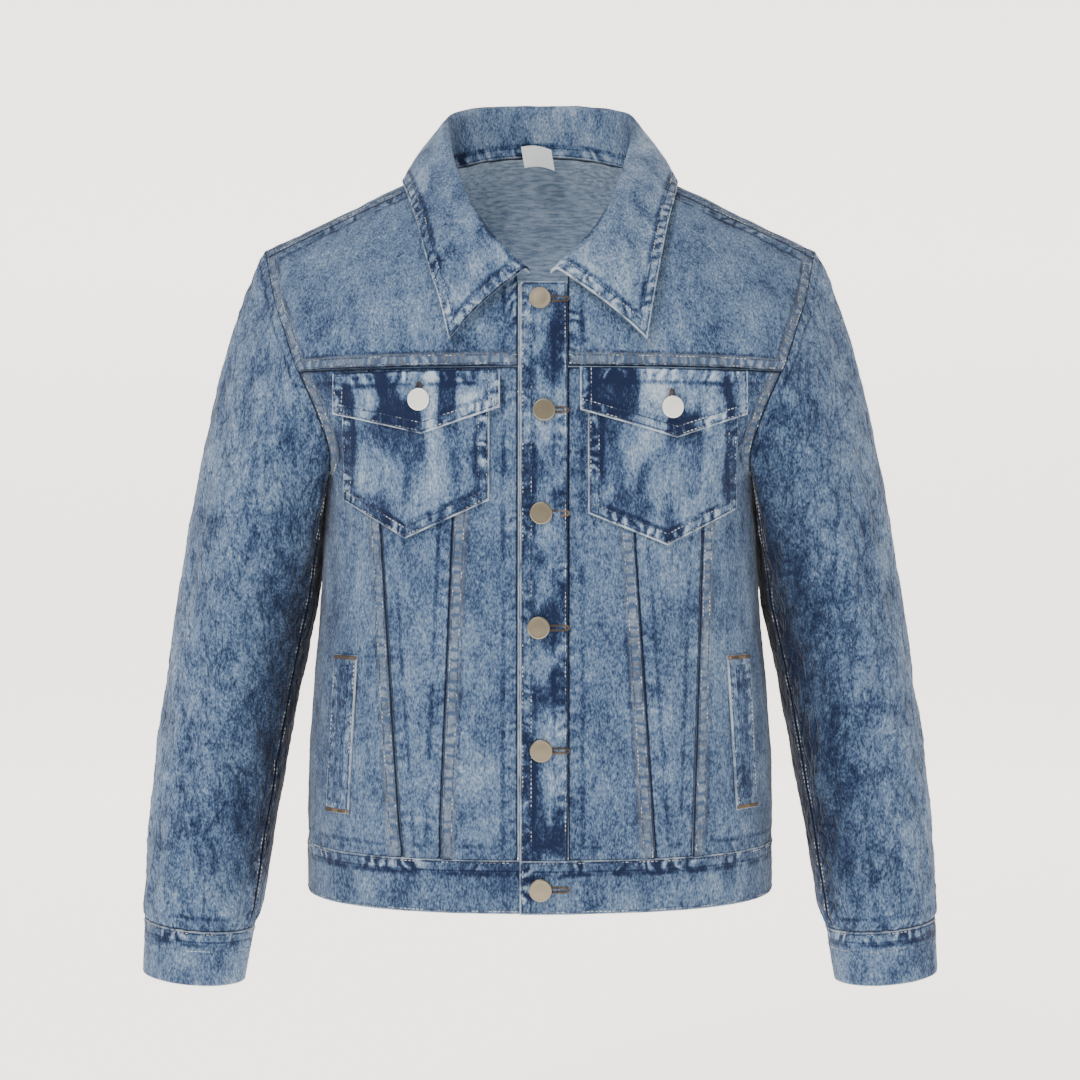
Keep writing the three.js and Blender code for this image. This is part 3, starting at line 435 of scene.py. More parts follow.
BACK_YOKE = table("foot_x head_x head_lift", [
    (0, 0, 118), (16, 20, 117.2), (32, 40, 115), (50, 62, 108.5), (62, 77, 100.5), (72, 83, 90),
    (80, 81.5, 70.3), (98, 110, 70.3), (122, 143, 70.3),
    (150, 177, 70.3), (173, 205, 70.3), (189, 222.5, 70.3),
])
station = np.linspace(0, 11, 75)
half = {key: np.interp(station, range(12), column) for key, column in BACK_YOKE.items()}
mirror = {key: np.concatenate([column[:0:-1], column]) for key, column in half.items()}
sign = np.concatenate([-np.ones(74), np.ones(75)])[None, :]
share = shares(70, 220)[:, None]
lift = lerp(180, mirror["head_lift"][None, :], share)
widest = read(ARMHOLE_HIGH, "lift", "x", lift)
head_widest = read(ARMHOLE_HIGH, "lift", "x", mirror["head_lift"][None, :])
foot_widest = ARMHOLE_HIGH["x"][-1]
over_ridge = np.broadcast_to(mirror["head_lift"][None, :] < 89, lift.shape)
with np.errstate(divide="ignore", invalid="ignore"):
    eased = np.where(over_ridge, (widest - foot_widest) / (head_widest - foot_widest), share)
x = lerp(mirror["foot_x"][None, :], mirror["head_x"][None, :], eased)
blend = np.clip((np.broadcast_to(mirror["foot_x"][None, :], lift.shape) - 173) / 16, 0, 1)
x = lerp(x, widest - SEAM_HALF_GAP, blend)
cloth("back_yoke", shoulder_point(sign * x, lift), True, band="t", stitched_down="tblr",
      uneven=0.45, marks=0.6)

# %% [markdown]
# ## Back panel
# One plain panel under the yoke, from side seam to side seam.

# %% Back panel
edge = read(ARMHOLE_LOW, "z", "angle", z_rows) - SEAM_HALF_GAP
across = shares(150, 560)[None, :]
back = ring_point(lerp(180 - edge, 180 + edge, across), z_rows)
cloth("back_panel", waist_pucker(back, 23), True, uneven=0.6, creased=0.7)

# %% [markdown]
# ## Placket and waistband
# The wearer's left front laps over the right one. Both ends of the waistband lap with it.

# %% Placket and waistband
PLACKET = {"left": (-15, 21), "right": (STAND["right"], STAND["left"])}
PLACKET_TOP_Z = -103
PLACKET_LIFT, PLACKET_WALL = 0.5, 2.1
z_placket = lerp(PLACKET_TOP_Z, WAIST_SEAM_Z + 2 * SEAM_HALF_GAP, shares(140, 440))[:, None]
across = shares(13, 36)[None, :]
for side, (from_x, to_x) in PLACKET.items():
    on_top = side == "left"
    strip = front_point(lerp(from_x, to_x, across), z_placket)
    cloth(f"placket_{side}", strip, True, bottom=PLACKET_LIFT if on_top else -WALL,
          thickness=PLACKET_WALL if on_top else WALL, tone=0.55 if on_top else 0, uneven=0.3,
          free="lt", marks=0.5)

LAP_LIFT, LAP_RAMP_X, UNDER_X = WALL + 0.8, 40, 19
lap_angles = ring_angle(np.linspace(PLACKET["left"][0], LAP_RAMP_X, 20), HEM_Z)
round_angles = np.linspace(ring_angle(LAP_RAMP_X, HEM_Z), 360 - ring_angle(LAP_RAMP_X, HEM_Z), 290)[1:]
end_angles = 360 + ring_angle(np.linspace(-LAP_RAMP_X, UNDER_X, 20), HEM_Z)[1:]
angles = np.concatenate([lap_angles, round_angles, end_angles])[None, :]
band_rows = lerp(WAIST_SEAM_Z + SEAM_LAP, HEM_Z, shares(13, 41))[:, None]
band = ring_point(angles, band_rows)
ramp = np.clip((LAP_RAMP_X - band[..., 0]) / (LAP_RAMP_X - PLACKET["left"][1]), 0, 1)
is_over = (np.arange(angles.shape[1]) < 24)[None, :]
outward = band * [1, 1, 0]
outward /= np.linalg.norm(outward, axis=-1, keepdims=True)
band = band + outward * (LAP_LIFT * ramp * is_over)[..., None]
cloth("waistband", band, True, thickness=WALL + 0.4, tone=0.15, uneven=0.4, sewn="tl", free="ltb", marks=1.2,
      dye_and_shade=0.13)

# %% [markdown]
# ## Sleeves
# A jacket sleeve has an upper and an under piece. Its head is eased into the armhole, and it
# bends a little forward at the elbow. The folds gather in the bend and above the cuff.

# %% Sleeves
SLEEVE = table("z centre half depth y tilt", [
    (-354, 239.6, 57.4, 70, 2, 0), (-408, 249, 55, 66, -1, 0), (-462, 257.4, 53.5, 61, -6, 1),
    (-538, 266.7, 50.3, 54, -16, 2.5), (-575, 269.8, 48.2, 49.5, -22, 3.5), (-596, 272, 46.6, 45.5, -26, 4.2),
    (-606, 273.4, 42.8, 41.5, -28, 4.4),
])
SLEEVE_FOLDS = table("turn z slant long wide depth", [
    (60, -300, 0.35, 70, 11, -2.6), (95, -330, 0.5, 60, 9, 2), (120, -300, 0.6, 55, 9, -2.6),
    (75, -410, -0.6, 45, 9, -2.4), (110, -440, -0.7, 42, 8, 2.2), (60, -460, 0.5, 45, 8, 2),
    (90, -505, -0.4, 45, 8, -2), (60, -566, 0.1, 24, 6, 1.6), (105, -570, -0.1, 22, 6, 1.6),
    (270, -420, 0.5, 45, 9, -2.4), (300, -445, -0.6, 45, 9, 2.2), (285, -530, 0.4, 42, 8, -2),
    (320, -568, 0.1, 22, 6, 1.6),
    (30, -380, 0.5, 40, 5, -1.2), (15, -440, -0.4, 40, 5, -1.1), (40, -520, 0.5, 36, 5, -1.2),
    (80, -552, 0.0, 22, 4, -1.5), (35, -575, 0.1, 18, 4, 1.5), (130, -575, 0.0, 18, 4, 1.5),
    (100, -375, 0.7, 32, 5, -1.4), (80, -350, -0.6, 36, 5, 1.2), (120, -400, -0.8, 34, 5, 1.3),
    (10, -580, 0.0, 16, 4, -1.3), (240, -575, 0.0, 18, 4, 1.4), (275, -575, 0.1, 18, 4, -1.4),
    (255, -380, 0.6, 36, 6, -1.5), (285, -360, -0.5, 36, 6, 1.3), (245, -470, 0.5, 36, 6, -1.3),
])
HEAD_HIGH = table("turn lift", [(0, 90), (30, 62), (60, 34), (100, 0)])
HEAD_LOW = table("turn z", [(100, -168), (125, -205), (150, -238), (165, -250), (180, -255)])
SEAM_FRONT, SEAM_BACK, SEAM_TURN = 156, 250, 0.6
HEAD_EASE, HEAD_SWELL, SLEEVE_START, UNDERARM_CLEAR = 82, 2, -1.6, 0.8
# The side of a sleeve toward the body is painted darker between these heights: painted shade where it hangs
# beside the body.
SLEEVE_BODY_SHADE = {"right": 0.62, "left": 0.85}
SHADE_TOP_Z, SHADE_TOP_FADE, SHADE_FOOT_Z, SHADE_FOOT_FADE = -150, 120, -640, 90


def armhole_point(turn):
    is_back = turn > 180
    front_turn = np.where(is_back, 360 - turn, turn)
    lift = read(HEAD_HIGH, "turn", "lift", front_turn)
    high = shoulder_point(read(ARMHOLE_HIGH, "lift", "x", lift), np.where(is_back, 180 - lift, lift))
    z = read(HEAD_LOW, "turn", "z", front_turn)
    angle = read(ARMHOLE_LOW, "z", "angle", z)
    low = ring_point(np.where(is_back, 180 - angle, angle), z)
    return np.where((front_turn <= HEAD_HIGH["turn"][-1])[..., None], high, low)


def sleeve_ring(turn, z):
    size = {key: read(SLEEVE, "z", key, z) for key in ("centre", "half", "depth", "y", "tilt")}

    def round_from(row):
        return np.radians((turn - row["turn"] + 540) % 360 - 180) * size["half"]

    fold = fold_height(SLEEVE_FOLDS, round_from, z)
    radians = np.radians(turn)
    gather = np.exp(-np.maximum(z - SLEEVE["z"][-1], 0) / 12)
    fold = fold + gather * np.sin(radians * 22) * (0.7 + 0.5 * np.sin(radians * 5))
    x = size["centre"] + (size["half"] + fold) * np.cos(radians)
    y = size["y"] - (size["depth"] + fold) * np.sin(radians)
    return points(x, y, z + size["tilt"] * np.cos(radians))


def sleeve_head(turn, share):
    inward = (1 - np.cos(np.radians(turn))) / 2
    foot = sleeve_ring(turn, np.full_like(turn, SLEEVE["z"][0]))
    start = armhole_point(turn)
    start[..., 0] += UNDERARM_CLEAR * inward
    bend = (start + foot) / 2
    bend[..., 2] += HEAD_EASE * (1 - inward) ** 2
    bend[..., 0] += HEAD_SWELL * (1 - inward)
    away = bend - start
    start = start + away / np.linalg.norm(away, axis=-1, keepdims=True) * SLEEVE_START
    return start * (1 - share) ** 2 + bend * 2 * share * (1 - share) + foot * share**2


for side, sign in SIDES.items():
    for part, from_turn, to_turn, count in (
        ("upper", SEAM_BACK - 360, SEAM_FRONT, 96), ("under", SEAM_FRONT, SEAM_BACK, 38)
    ):
        turns = lerp(from_turn + SEAM_TURN, to_turn - SEAM_TURN, shares(count, count * 3.2))
        turns = ((turns + 360) % 360)[None, :]
        head_share = np.concatenate([[0, 0.0015, 0.003], np.linspace(0, 1, 72)[1:-1]])[:, None, None]
        head = sleeve_head(np.repeat(turns, len(head_share), 0), head_share)
        low_z = SLEEVE["z"][0] + (SLEEVE["z"][-1] - SLEEVE["z"][0]) * shares(84, 262)[2:][:, None]
        tube = np.concatenate([head, sleeve_ring(np.repeat(turns, len(low_z), 0), low_z)])
        # Painted shade: the side toward the body is darkened, fading out at the head and above the cuff.
        toward_body = np.clip((1 - np.cos(np.radians(turns - 20))) / 2, 0, 1) ** 1.5
        below_head = np.clip((SHADE_TOP_Z - tube[..., 2]) / SHADE_TOP_FADE, 0, 1)
        below_head = below_head * np.clip((tube[..., 2] - SHADE_FOOT_Z) / SHADE_FOOT_FADE, 0, 1)
        cloth(f"sleeve_{part}_{side}", tube * [sign, 1, 1], sign < 0, uneven=0.5, creased=1.1, marks=0.3,
              dye_and_shade=SLEEVE_BODY_SHADE[side] * toward_body * below_head)

# %% [markdown]
# ## Cuffs
# Each cuff is a straight band, a little narrower than the gathered sleeve end.

# %% Cuffs
CUFF = table("z centre half depth y", [
    (-607, 273.5, 43.2, 42, -28), (-611, 273.9, 42.8, 41.6, -28.3), (-628, 275.7, 41.4, 40, -29),
    (-648.5, 277.8, 40, 38.2, -30),
])
CUFF_TILT = 4.4
cuff_z = lerp(CUFF["z"][0] + SEAM_LAP, CUFF["z"][-1], shares(13, 42))[:, None]
turns = np.radians(np.linspace(0, 360, 97))[None, :]
cuff_x = read(CUFF, "z", "centre", cuff_z) + read(CUFF, "z", "half", cuff_z) * np.cos(turns)
cuff_y = read(CUFF, "z", "y", cuff_z) - read(CUFF, "z", "depth", cuff_z) * np.sin(turns)
cuff_grid = points(cuff_x, cuff_y, cuff_z + CUFF_TILT * np.cos(turns))
for side, sign in SIDES.items():
    cloth(f"cuff_{side}", cuff_grid * [sign, 1, 1], sign < 0, thickness=WALL + 0.6, sewn="t",
          closed=True, tone=0.2, free="tb", marks=1.2, dye_and_shade=0.08)

# %% [markdown]
# ## Collar
# The collar stands up from the neck seam, rolls over and falls to its outer edge. It is
# highest at the centre back and flat at the front points.

# %% Collar
COLLAR = table("x lift fold_x fold_y fold_z edge_x edge_y edge_z lean", [
    (8, 26.4, 9, -105.5, -93, 75, -119, -148, 6), (24, 31, 25, -103, -78, 81, -112, -119, 5),
    (42, 36.5, 43.5, -91, -55, 89, -98, -88, 3), (58, 47, 58.5, -67, -25, 98, -72, -52, 2),
    (71.5, 62, 68.5, -40, 6, 107, -40, -24, 1), (79.5, 75, 74, -15, 31, 112, -8, -8, 0),
    (82.5, 90, 75, 10, 46, 110, 26, -6, 0), (76, 101, 68, 32, 58, 94, 54, -8, 0),
    (61, 109, 54, 48, 65, 70, 68, -6, 0), (38, 115.3, 33, 59, 69, 40, 77, -3, 0),
    (0, 118, 0, 63, 70.5, 0, 80, 0, 0),
])
COLLAR_WALL, COLLAR_SEAT, COLLAR_CLEAR, COLLAR_ROLL, COLLAR_BOW = 2.2, 1.2, 3.2, 3.6, 4
COLLAR_ROLL_SHARE, COLLAR_ROLL_DROP = 0.3, 0.6
FALL_SHARES = [0.12, 0.34, 0.58, 0.8, 1]


def unit(v):
    return v / np.linalg.norm(v, axis=-1, keepdims=True)


def collar_section(row, sign):
    on_shoulder = shoulder_point(np.array([sign * row["x"]]), np.array([row["lift"]]))
    seat = clear_of_shoulders(on_shoulder, COLLAR_SEAT)[0]
    fold = np.array([sign * row["fold_x"] + row["lean"] * 0.1, row["fold_y"], row["fold_z"]])
    outer_edge = np.array([sign * row["edge_x"] + row["lean"], row["edge_y"], row["edge_z"]])
    outward = unit((outer_edge - fold) * [1, 1, 0])
    rise = unit(fold - seat)
    top = fold + outward * COLLAR_ROLL
    section = [lerp(seat, fold - rise * COLLAR_ROLL, t) for t in (0, 0.5, 1)]
    section += [fold + outward * COLLAR_ROLL * COLLAR_ROLL_SHARE - rise * COLLAR_ROLL_DROP, top]
    for share in FALL_SHARES:
        point = lerp(top, outer_edge, share) + outward * COLLAR_BOW * math.sin(share * math.pi)
        section.append(clear_of_shoulders(point[None], COLLAR_CLEAR)[0])
    return section


def smooth_line(control, count):
    """Centripetal spline through the control points, read at even steps of its length."""
    control = np.asarray(control)
    shape = control.shape[1:]
    flat = control.reshape(len(control), -1)
    gaps = np.sqrt(np.linalg.norm(np.diff(flat, axis=0), axis=1))
    knots = np.concatenate([[0], np.cumsum(gaps)])
    ask = np.linspace(0, 1, 12 * len(control))
    at = ask * knots[-1]
    dense = np.stack([read({"t": knots, "v": column}, "t", "v", at) for column in flat.T], -1)
    travelled = np.concatenate([[0], np.cumsum(np.linalg.norm(np.diff(dense, axis=0), axis=1))])
    place = np.asarray(count) * travelled[-1]
    return np.stack([np.interp(place, travelled, column) for column in dense.T], -1).reshape((-1,) + shape)


rows = [{key: column[k] for key, column in COLLAR.items()} for k in range(len(COLLAR["x"]))]
sections = [collar_section(row, -1) for row in rows[:-1]] + [collar_section(row, 1) for row in rows[::-1]]
profile = np.stack([smooth_line(section, shares(40, 110)) for section in sections])
collar_grid = smooth_line(profile, shares(150, 620))
cloth("collar", collar_grid, True, bottom=-COLLAR_WALL / 2, thickness=COLLAR_WALL, tone=0.2,
      uneven=0.4, free="lrb", marks=1.0, dye_and_shade=-0.3)

# %% [markdown]
# ## Pockets, flaps and welts
# Patch pockets and flaps lie on the panels: each is drawn on the panel's own surface and
# moved out by the cloth's thickness. Their edges are folded under and stitched twice.

# %% Pockets, flaps and welts
POCKETS = {
    "right": dict(inner=-38, outer=-151.5, top=-190, corners=(-270, -269), tip_x=-102, tip=-299),
    "left": dict(inner=36, outer=151.5, top=-190, corners=(-280, -276), tip_x=96, tip=-304),
}
FLAPS = {
    "right": dict(inner=-30, outer=-158, top=-171.5, corners=(-200, -202), tip_x=-89, tip=-219.5),
    "left": dict(inner=30, outer=158, top=-169.5, corners=(-202, -202), tip_x=103, tip=-222),
}
POCKET_LIFT, POCKET_WALL, FLAP_LIFT, FLAP_WALL = 1.7, 1.5, 3.8, 1.7
WELTS = {
    "right": dict(inner=(-140, -146.5), outer=(-159, -166), top=-389, foot=-511),
    "left": dict(inner=(143.5, 151), outer=(163, 168.5), top=-389, foot=-508),
}
WELT_LIFT, WELT_WALL = 0.5, 1.6


def patch_grid(shape, count_across, count_down):
    width = abs(shape["outer"] - shape["inner"])
    height = abs(shape["top"] - shape["tip"])
    tip_share = (shape["tip_x"] - shape["inner"]) / (shape["outer"] - shape["inner"])
    u = np.unique(np.concatenate([shares(count_across, width), [tip_share]]))[None, :]
    v = shares(count_down, height)[:, None]
    inner_corner, outer_corner = shape["corners"]
    foot = np.interp(u, [0, tip_share, 1], [inner_corner, shape["tip"], outer_corner])
    x = lerp(shape["inner"], shape["outer"], u)
    return front_point(x + 0 * v, lerp(shape["top"], foot, v))


for side, sign in SIDES.items():
    cloth(f"chest_pocket_{side}", patch_grid(POCKETS[side], 44, 40), sign > 0, bottom=POCKET_LIFT,
          thickness=POCKET_WALL, sewn="lrb", tone=0.42, uneven=0.4, free="lrb", marks=1.15, dye_and_shade=-0.02)
    cloth(f"pocket_flap_{side}", patch_grid(FLAPS[side], 48, 20), sign > 0, bottom=FLAP_LIFT,
          thickness=FLAP_WALL, sewn="lrbt", tone=0.9, uneven=0.35, free="lrb", marks=1.1, dye_and_shade=-0.25)
    shape = WELTS[side]
    v, u = shares(40, 120)[:, None], shares(8, 19)[None, :]
    x = lerp(lerp(shape["inner"][0], shape["inner"][1], v), lerp(shape["outer"][0], shape["outer"][1], v), u)
    cloth(f"welt_{side}", front_point(x, lerp(shape["top"], shape["foot"], v) + 0 * u), sign > 0,
          bottom=WELT_LIFT, thickness=WELT_WALL, tone=0.1, uneven=0.2, free="lrtb", marks=0.5)

# The neck label hangs from the neck seam, a little askew and curled.
LABEL = dict(left=-16, right=9.5, top=33, foot=15, y=54.6, skew=3, curl=0.8, arch=2, tilt=2.4, wall=0.8)
v, u = shares(8, 18)[:, None], shares(12, 26)[None, :]
label_x = lerp(LABEL["left"], LABEL["right"], u) + LABEL["skew"] * v
label_y = LABEL["y"] - v - LABEL["curl"] * np.sin(u * math.pi * 1.5)
label_z = lerp(LABEL["top"], LABEL["foot"], v) + LABEL["arch"] * np.sin(u * math.pi)
label_z = label_z + LABEL["tilt"] * (0.4 - u)
label = points(label_x, label_y, label_z)
cloth("neck_label", label, False, bottom=-LABEL["wall"], thickness=LABEL["wall"], sewn="", uneven=0.25,
      material="label_cloth")

# %% [markdown]
# ## Tack buttons
# A tack button is a pressed metal cap on a short shank. The cap is almost flat, with a
# rolled rim. The profile is turned round the button's own axis, which stands off the cloth.

# %% Buttons
BUTTON_SEAT = 0.4
BUTTON_PROFILE = [
    (4, 0), (4, 0.8), (7.7, 0.85), (8.2, 1.05), (8.45, 1.4), (8.5, 1.8), (8.4, 2.2),
    (8.1, 2.5), (7.6, 2.68), (7.2, 2.62), (6.9, 2.6), (4.5, 2.72), (2.2, 2.78),
]
BUTTON_TOP = 2.8
BUTTON_SIDES = 72
BUTTONS = [
    ("button_front_1", 0, -117, 2.6), ("button_front_2", 3, -202, 2.6),
    ("button_front_3", 0.8, -280, 2.6), ("button_front_4", -1.1, -366, 2.6),
    ("button_front_5", 0.8, -458, 2.6), ("button_front_6", 0.3, -562, 3.2),
    ("button_flap_right", -90.6, -193.6, 5.5), ("button_flap_left", 99, -199, 5.5),
]


def on_ring(ring, k):
    """Number of a button's vertex: vertex 0 is its foot, then come the rings."""
    return 1 + ring * BUTTON_SIDES + k % BUTTON_SIDES


def surface_frame(x, z, lift):
    """Foot, sideways, upward and outward directions on the front of the body."""
    step = 4
    upward = unit(front_point(x, z + step) - front_point(x, z - step))
    sideways = unit(front_point(x + step, z) - front_point(x - step, z))
    outward = unit(np.cross(sideways, upward))
    return front_point(x, z) + outward * lift, sideways, upward, outward


for name, x, z, lift in BUTTONS:
    foot, sideways, upward, outward = surface_frame(x, z, lift + BUTTON_SEAT)
    angle = np.arange(BUTTON_SIDES) * 2 * math.pi / BUTTON_SIDES
    circle = np.cos(angle)[:, None] * sideways + np.sin(angle)[:, None] * upward
    rings = [foot + circle * radius + outward * height for radius, height in BUTTON_PROFILE]
    vertices = [foot, *np.concatenate(rings), foot + outward * BUTTON_TOP]
    top, last = len(vertices) - 1, len(rings) - 1
    faces = []
    for k in range(BUTTON_SIDES):
        faces.append((0, on_ring(0, k + 1), on_ring(0, k)))
        for r in range(last):
            faces.append((on_ring(r, k), on_ring(r, k + 1), on_ring(r + 1, k + 1), on_ring(r + 1, k)))
        faces.append((on_ring(last, k), on_ring(last, k + 1), top))
    mesh = bpy.data.meshes.new(name + "_metal")
    mesh.from_pydata([tuple(v * MM) for v in vertices], [], faces)
    mesh.shade_smooth()
    # The flap buttons take the paler copy of the metal: painted highlight.
    mesh.materials.append(MATERIALS["pewter_highlight" if "flap" in name else "pewter"])
    piece = bpy.data.objects.new(name + "_metal", mesh)
    bpy.context.collection.objects.link(piece)
    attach(piece, "root")
    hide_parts(name)
print(len(BUTTONS), "buttons")

# %% [markdown]
# ## Stitches
# Topstitching runs in double rows beside every seam. Each stitch is a short thread that
# dips at both ends. Points mark the stitches, and Geometry Nodes puts one thread on each.

# %% Stitch rows
STITCH_PITCH = 3.3
STITCH_LENGTH = 2.7
THREAD_RADIUS = 0.42
NEAR_ROW, FAR_ROW = 2.1, 8.4
rows_of_stitches = {"thread": [], "thread_ochre": []}


def line_on_sheet(name, edge, inset, start=0.0, stop=1.0):
    """Points of a line at a fixed distance from one edge of a panel, with their normals."""
    sheet = SHEETS[name]
    distance, grid, normals = sheet["edge"][edge], sheet["grid"], sheet["normals"]
    if edge in "tb":
        distance, grid, normals = distance.T, grid.transpose(1, 0, 2), normals.transpose(1, 0, 2)
    line, facing = [], []
    for k in range(len(grid)):
        order = slice(None) if distance[k, 0] < distance[k, -1] else slice(None, None, -1)
        d = distance[k, order]
        line.append([np.interp(inset, d, grid[k, order, axis]) for axis in range(3)])
        facing.append([np.interp(inset, d, normals[k, order, axis]) for axis in range(3)])
    first, last = int(start * (len(line) - 1)), int(stop * (len(line) - 1)) + 1
    return np.array(line)[first:last], np.array(facing)[first:last]


def stitch_along(line, facing, kind="thread", pitch=STITCH_PITCH, turned=False):
    """Marks stitches at an even pitch. turned lays them across the line, as in a bar tack."""
    travelled = np.concatenate([[0], np.cumsum(np.linalg.norm(np.diff(line, axis=0), axis=1))])
    place = np.arange(pitch * 0.7, travelled[-1] - pitch * 0.4, pitch)
    if not len(place):
        return
    at = np.stack([np.interp(place, travelled, line[:, axis]) for axis in range(3)], -1)
    ahead = np.stack([np.interp(place + 0.6, travelled, line[:, axis]) for axis in range(3)], -1)
    back = np.stack([np.interp(place - 0.6, travelled, line[:, axis]) for axis in range(3)], -1)
    normal = unit(np.stack([np.interp(place, travelled, facing[:, axis]) for axis in range(3)], -1))
    tangent = unit(ahead - back)
    if turned:
        tangent = unit(np.cross(normal, tangent))
    rows_of_stitches[kind].append((at + normal * 0.05, tangent, normal))


def double_row(name, edge, near=NEAR_ROW, far=FAR_ROW, **span):
    for inset in (near, far):
        stitch_along(*line_on_sheet(name, edge, inset, **span))


for side in SIDES:
    double_row(f"front_centre_{side}", "r")
    double_row(f"front_side_{side}", "l")
    double_row(f"front_yoke_{side}", "b")
    double_row(f"front_yoke_{side}", "r")
    double_row(f"front_side_{side}", "r", start=0.01, stop=0.225)
    for part in ("upper", "under"):
        stitch_along(*line_on_sheet(f"sleeve_{part}_{side}", "r", 2.2))
    stitch_along(*line_on_sheet(f"sleeve_under_{side}", "l", 2.2))
    for inset in (NEAR_ROW, 15.5):
        stitch_along(*line_on_sheet(f"cuff_{side}", "t", inset))
    for edge in "lrb":
        double_row(f"chest_pocket_{side}", edge)
        double_row(f"pocket_flap_{side}", edge)
    stitch_along(*line_on_sheet(f"welt_{side}", "l", 2.0))
    stitch_along(*line_on_sheet(f"welt_{side}", "r", 2.0))
    for edge in "tb":
        for inset in (1.4, 2.6):
            tack = line_on_sheet(f"welt_{side}", edge, inset)
            stitch_along(*tack, kind="thread_ochre", pitch=0.8, turned=True)
double_row("back_yoke", "t")
double_row("back_yoke", "b", start=0.0, stop=0.27)
double_row("back_yoke", "b", start=0.73, stop=1.0)
for edge in "lr":
    double_row("back_yoke", edge)
for edge in "lr":
    double_row("back_panel", edge, start=0.01, stop=0.225)
double_row("placket_left", "l")
stitch_along(*line_on_sheet("placket_left", "r", 2.0))
for edge in "tb":
    stitch_along(*line_on_sheet("waistband", edge, 2.2))
stitch_along(*line_on_sheet("waistband", "l", 2.4))
for edge in "brt":
    for inset in (NEAR_ROW, FAR_ROW):
        stitch_along(*line_on_sheet("collar", edge, inset))

# %% [markdown]
# ## Buttonholes
# Each buttonhole is a slit with thread worked closely round it, rounder at the button's end.

# %% Buttonholes
HOLE_HALF_LENGTH, HOLE_HALF_WIDTH = 9.5, 1.7
HOLES = [(12.5, z, 2.6, 0) for _, _, z, _ in BUTTONS[:5]] + [
    (12.5, -562, 3.2, 0), (-90.6, -190, 5.5, 90), (99, -195, 5.5, 90),
]
for x, z, lift, turn in HOLES:
    angle = np.linspace(0, 2 * math.pi, 60)
    along = signed_power(np.cos(angle), 0.35) * HOLE_HALF_LENGTH
    aside = np.sin(angle) * HOLE_HALF_WIDTH * (1 + 0.25 * (along < -6))
    cosine, sine = math.cos(math.radians(turn)), math.sin(math.radians(turn))
    hole_x, hole_z = x + along * cosine - aside * sine, z + along * sine + aside * cosine
    foot = front_point(hole_x, hole_z)
    _, _, _, outward = surface_frame(x, z, lift)
    line = foot + outward * (lift + 0.15)
    stitch_along(line, np.broadcast_to(outward, line.shape), kind="thread_ochre", pitch=0.75, turned=True)


def stitch_nodes(name):
    """A node tree that lays one thread on each marked point."""
    tree = bpy.data.node_groups.new(name, "GeometryNodeTree")
    face = tree.interface
    face.new_socket("Geometry", in_out="INPUT", socket_type="NodeSocketGeometry")
    face.new_socket("Length", in_out="INPUT", socket_type="NodeSocketFloat")
    face.new_socket("Radius", in_out="INPUT", socket_type="NodeSocketFloat")
    face.new_socket("Thread", in_out="INPUT", socket_type="NodeSocketMaterial")
    face.new_socket("Geometry", in_out="OUTPUT", socket_type="NodeSocketGeometry")

    def node(kind, settings=(), **inputs):
        made = tree.nodes.new(kind)
        for key, value in dict(settings).items():
            setattr(made, key, value)
        for key, value in inputs.items():
            socket = made.inputs[key.replace("_", " ")]
            if isinstance(value, bpy.types.NodeSocket):
                tree.links.new(value, socket)
            else:
                socket.default_value = value
        return made

    given = tree.nodes.new("NodeGroupInput")
    halved = node("ShaderNodeMath", {"operation": "MULTIPLY"})
    tree.links.new(given.outputs["Length"], halved.inputs[0])
    halved.inputs[1].default_value = 0.5
    size = node("ShaderNodeCombineXYZ")
    tree.links.new(halved.outputs[0], size.inputs["X"])
    tree.links.new(given.outputs["Radius"], size.inputs["Y"])
    tree.links.new(given.outputs["Radius"], size.inputs["Z"])
    thread = node("GeometryNodeMeshUVSphere", Segments=5, Rings=4, Radius=1.0)
    stretched = node("GeometryNodeTransform", Geometry=thread.outputs["Mesh"], Scale=size.outputs[0])
    tangent = node("GeometryNodeInputNamedAttribute", {"data_type": "FLOAT_VECTOR"}, Name="tangent")
    normal = node("GeometryNodeInputNamedAttribute", {"data_type": "FLOAT_VECTOR"}, Name="facing")
    first = node("FunctionNodeAlignRotationToVector", {"axis": "X"}, Vector=tangent.outputs["Attribute"])
    second = node("FunctionNodeAlignRotationToVector", {"axis": "Z", "pivot_axis": "X"},
                  Rotation=first.outputs[0], Vector=normal.outputs["Attribute"])
    placed = node("GeometryNodeInstanceOnPoints", Points=given.outputs["Geometry"],
                  Instance=stretched.outputs[0], Rotation=second.outputs[0])
    real = node("GeometryNodeRealizeInstances", Geometry=placed.outputs["Instances"])
    painted = node("GeometryNodeSetMaterial", Geometry=real.outputs["Geometry"],
                   Material=given.outputs["Thread"])
    result = tree.nodes.new("NodeGroupOutput")
    tree.links.new(painted.outputs["Geometry"], result.inputs["Geometry"])
    return tree


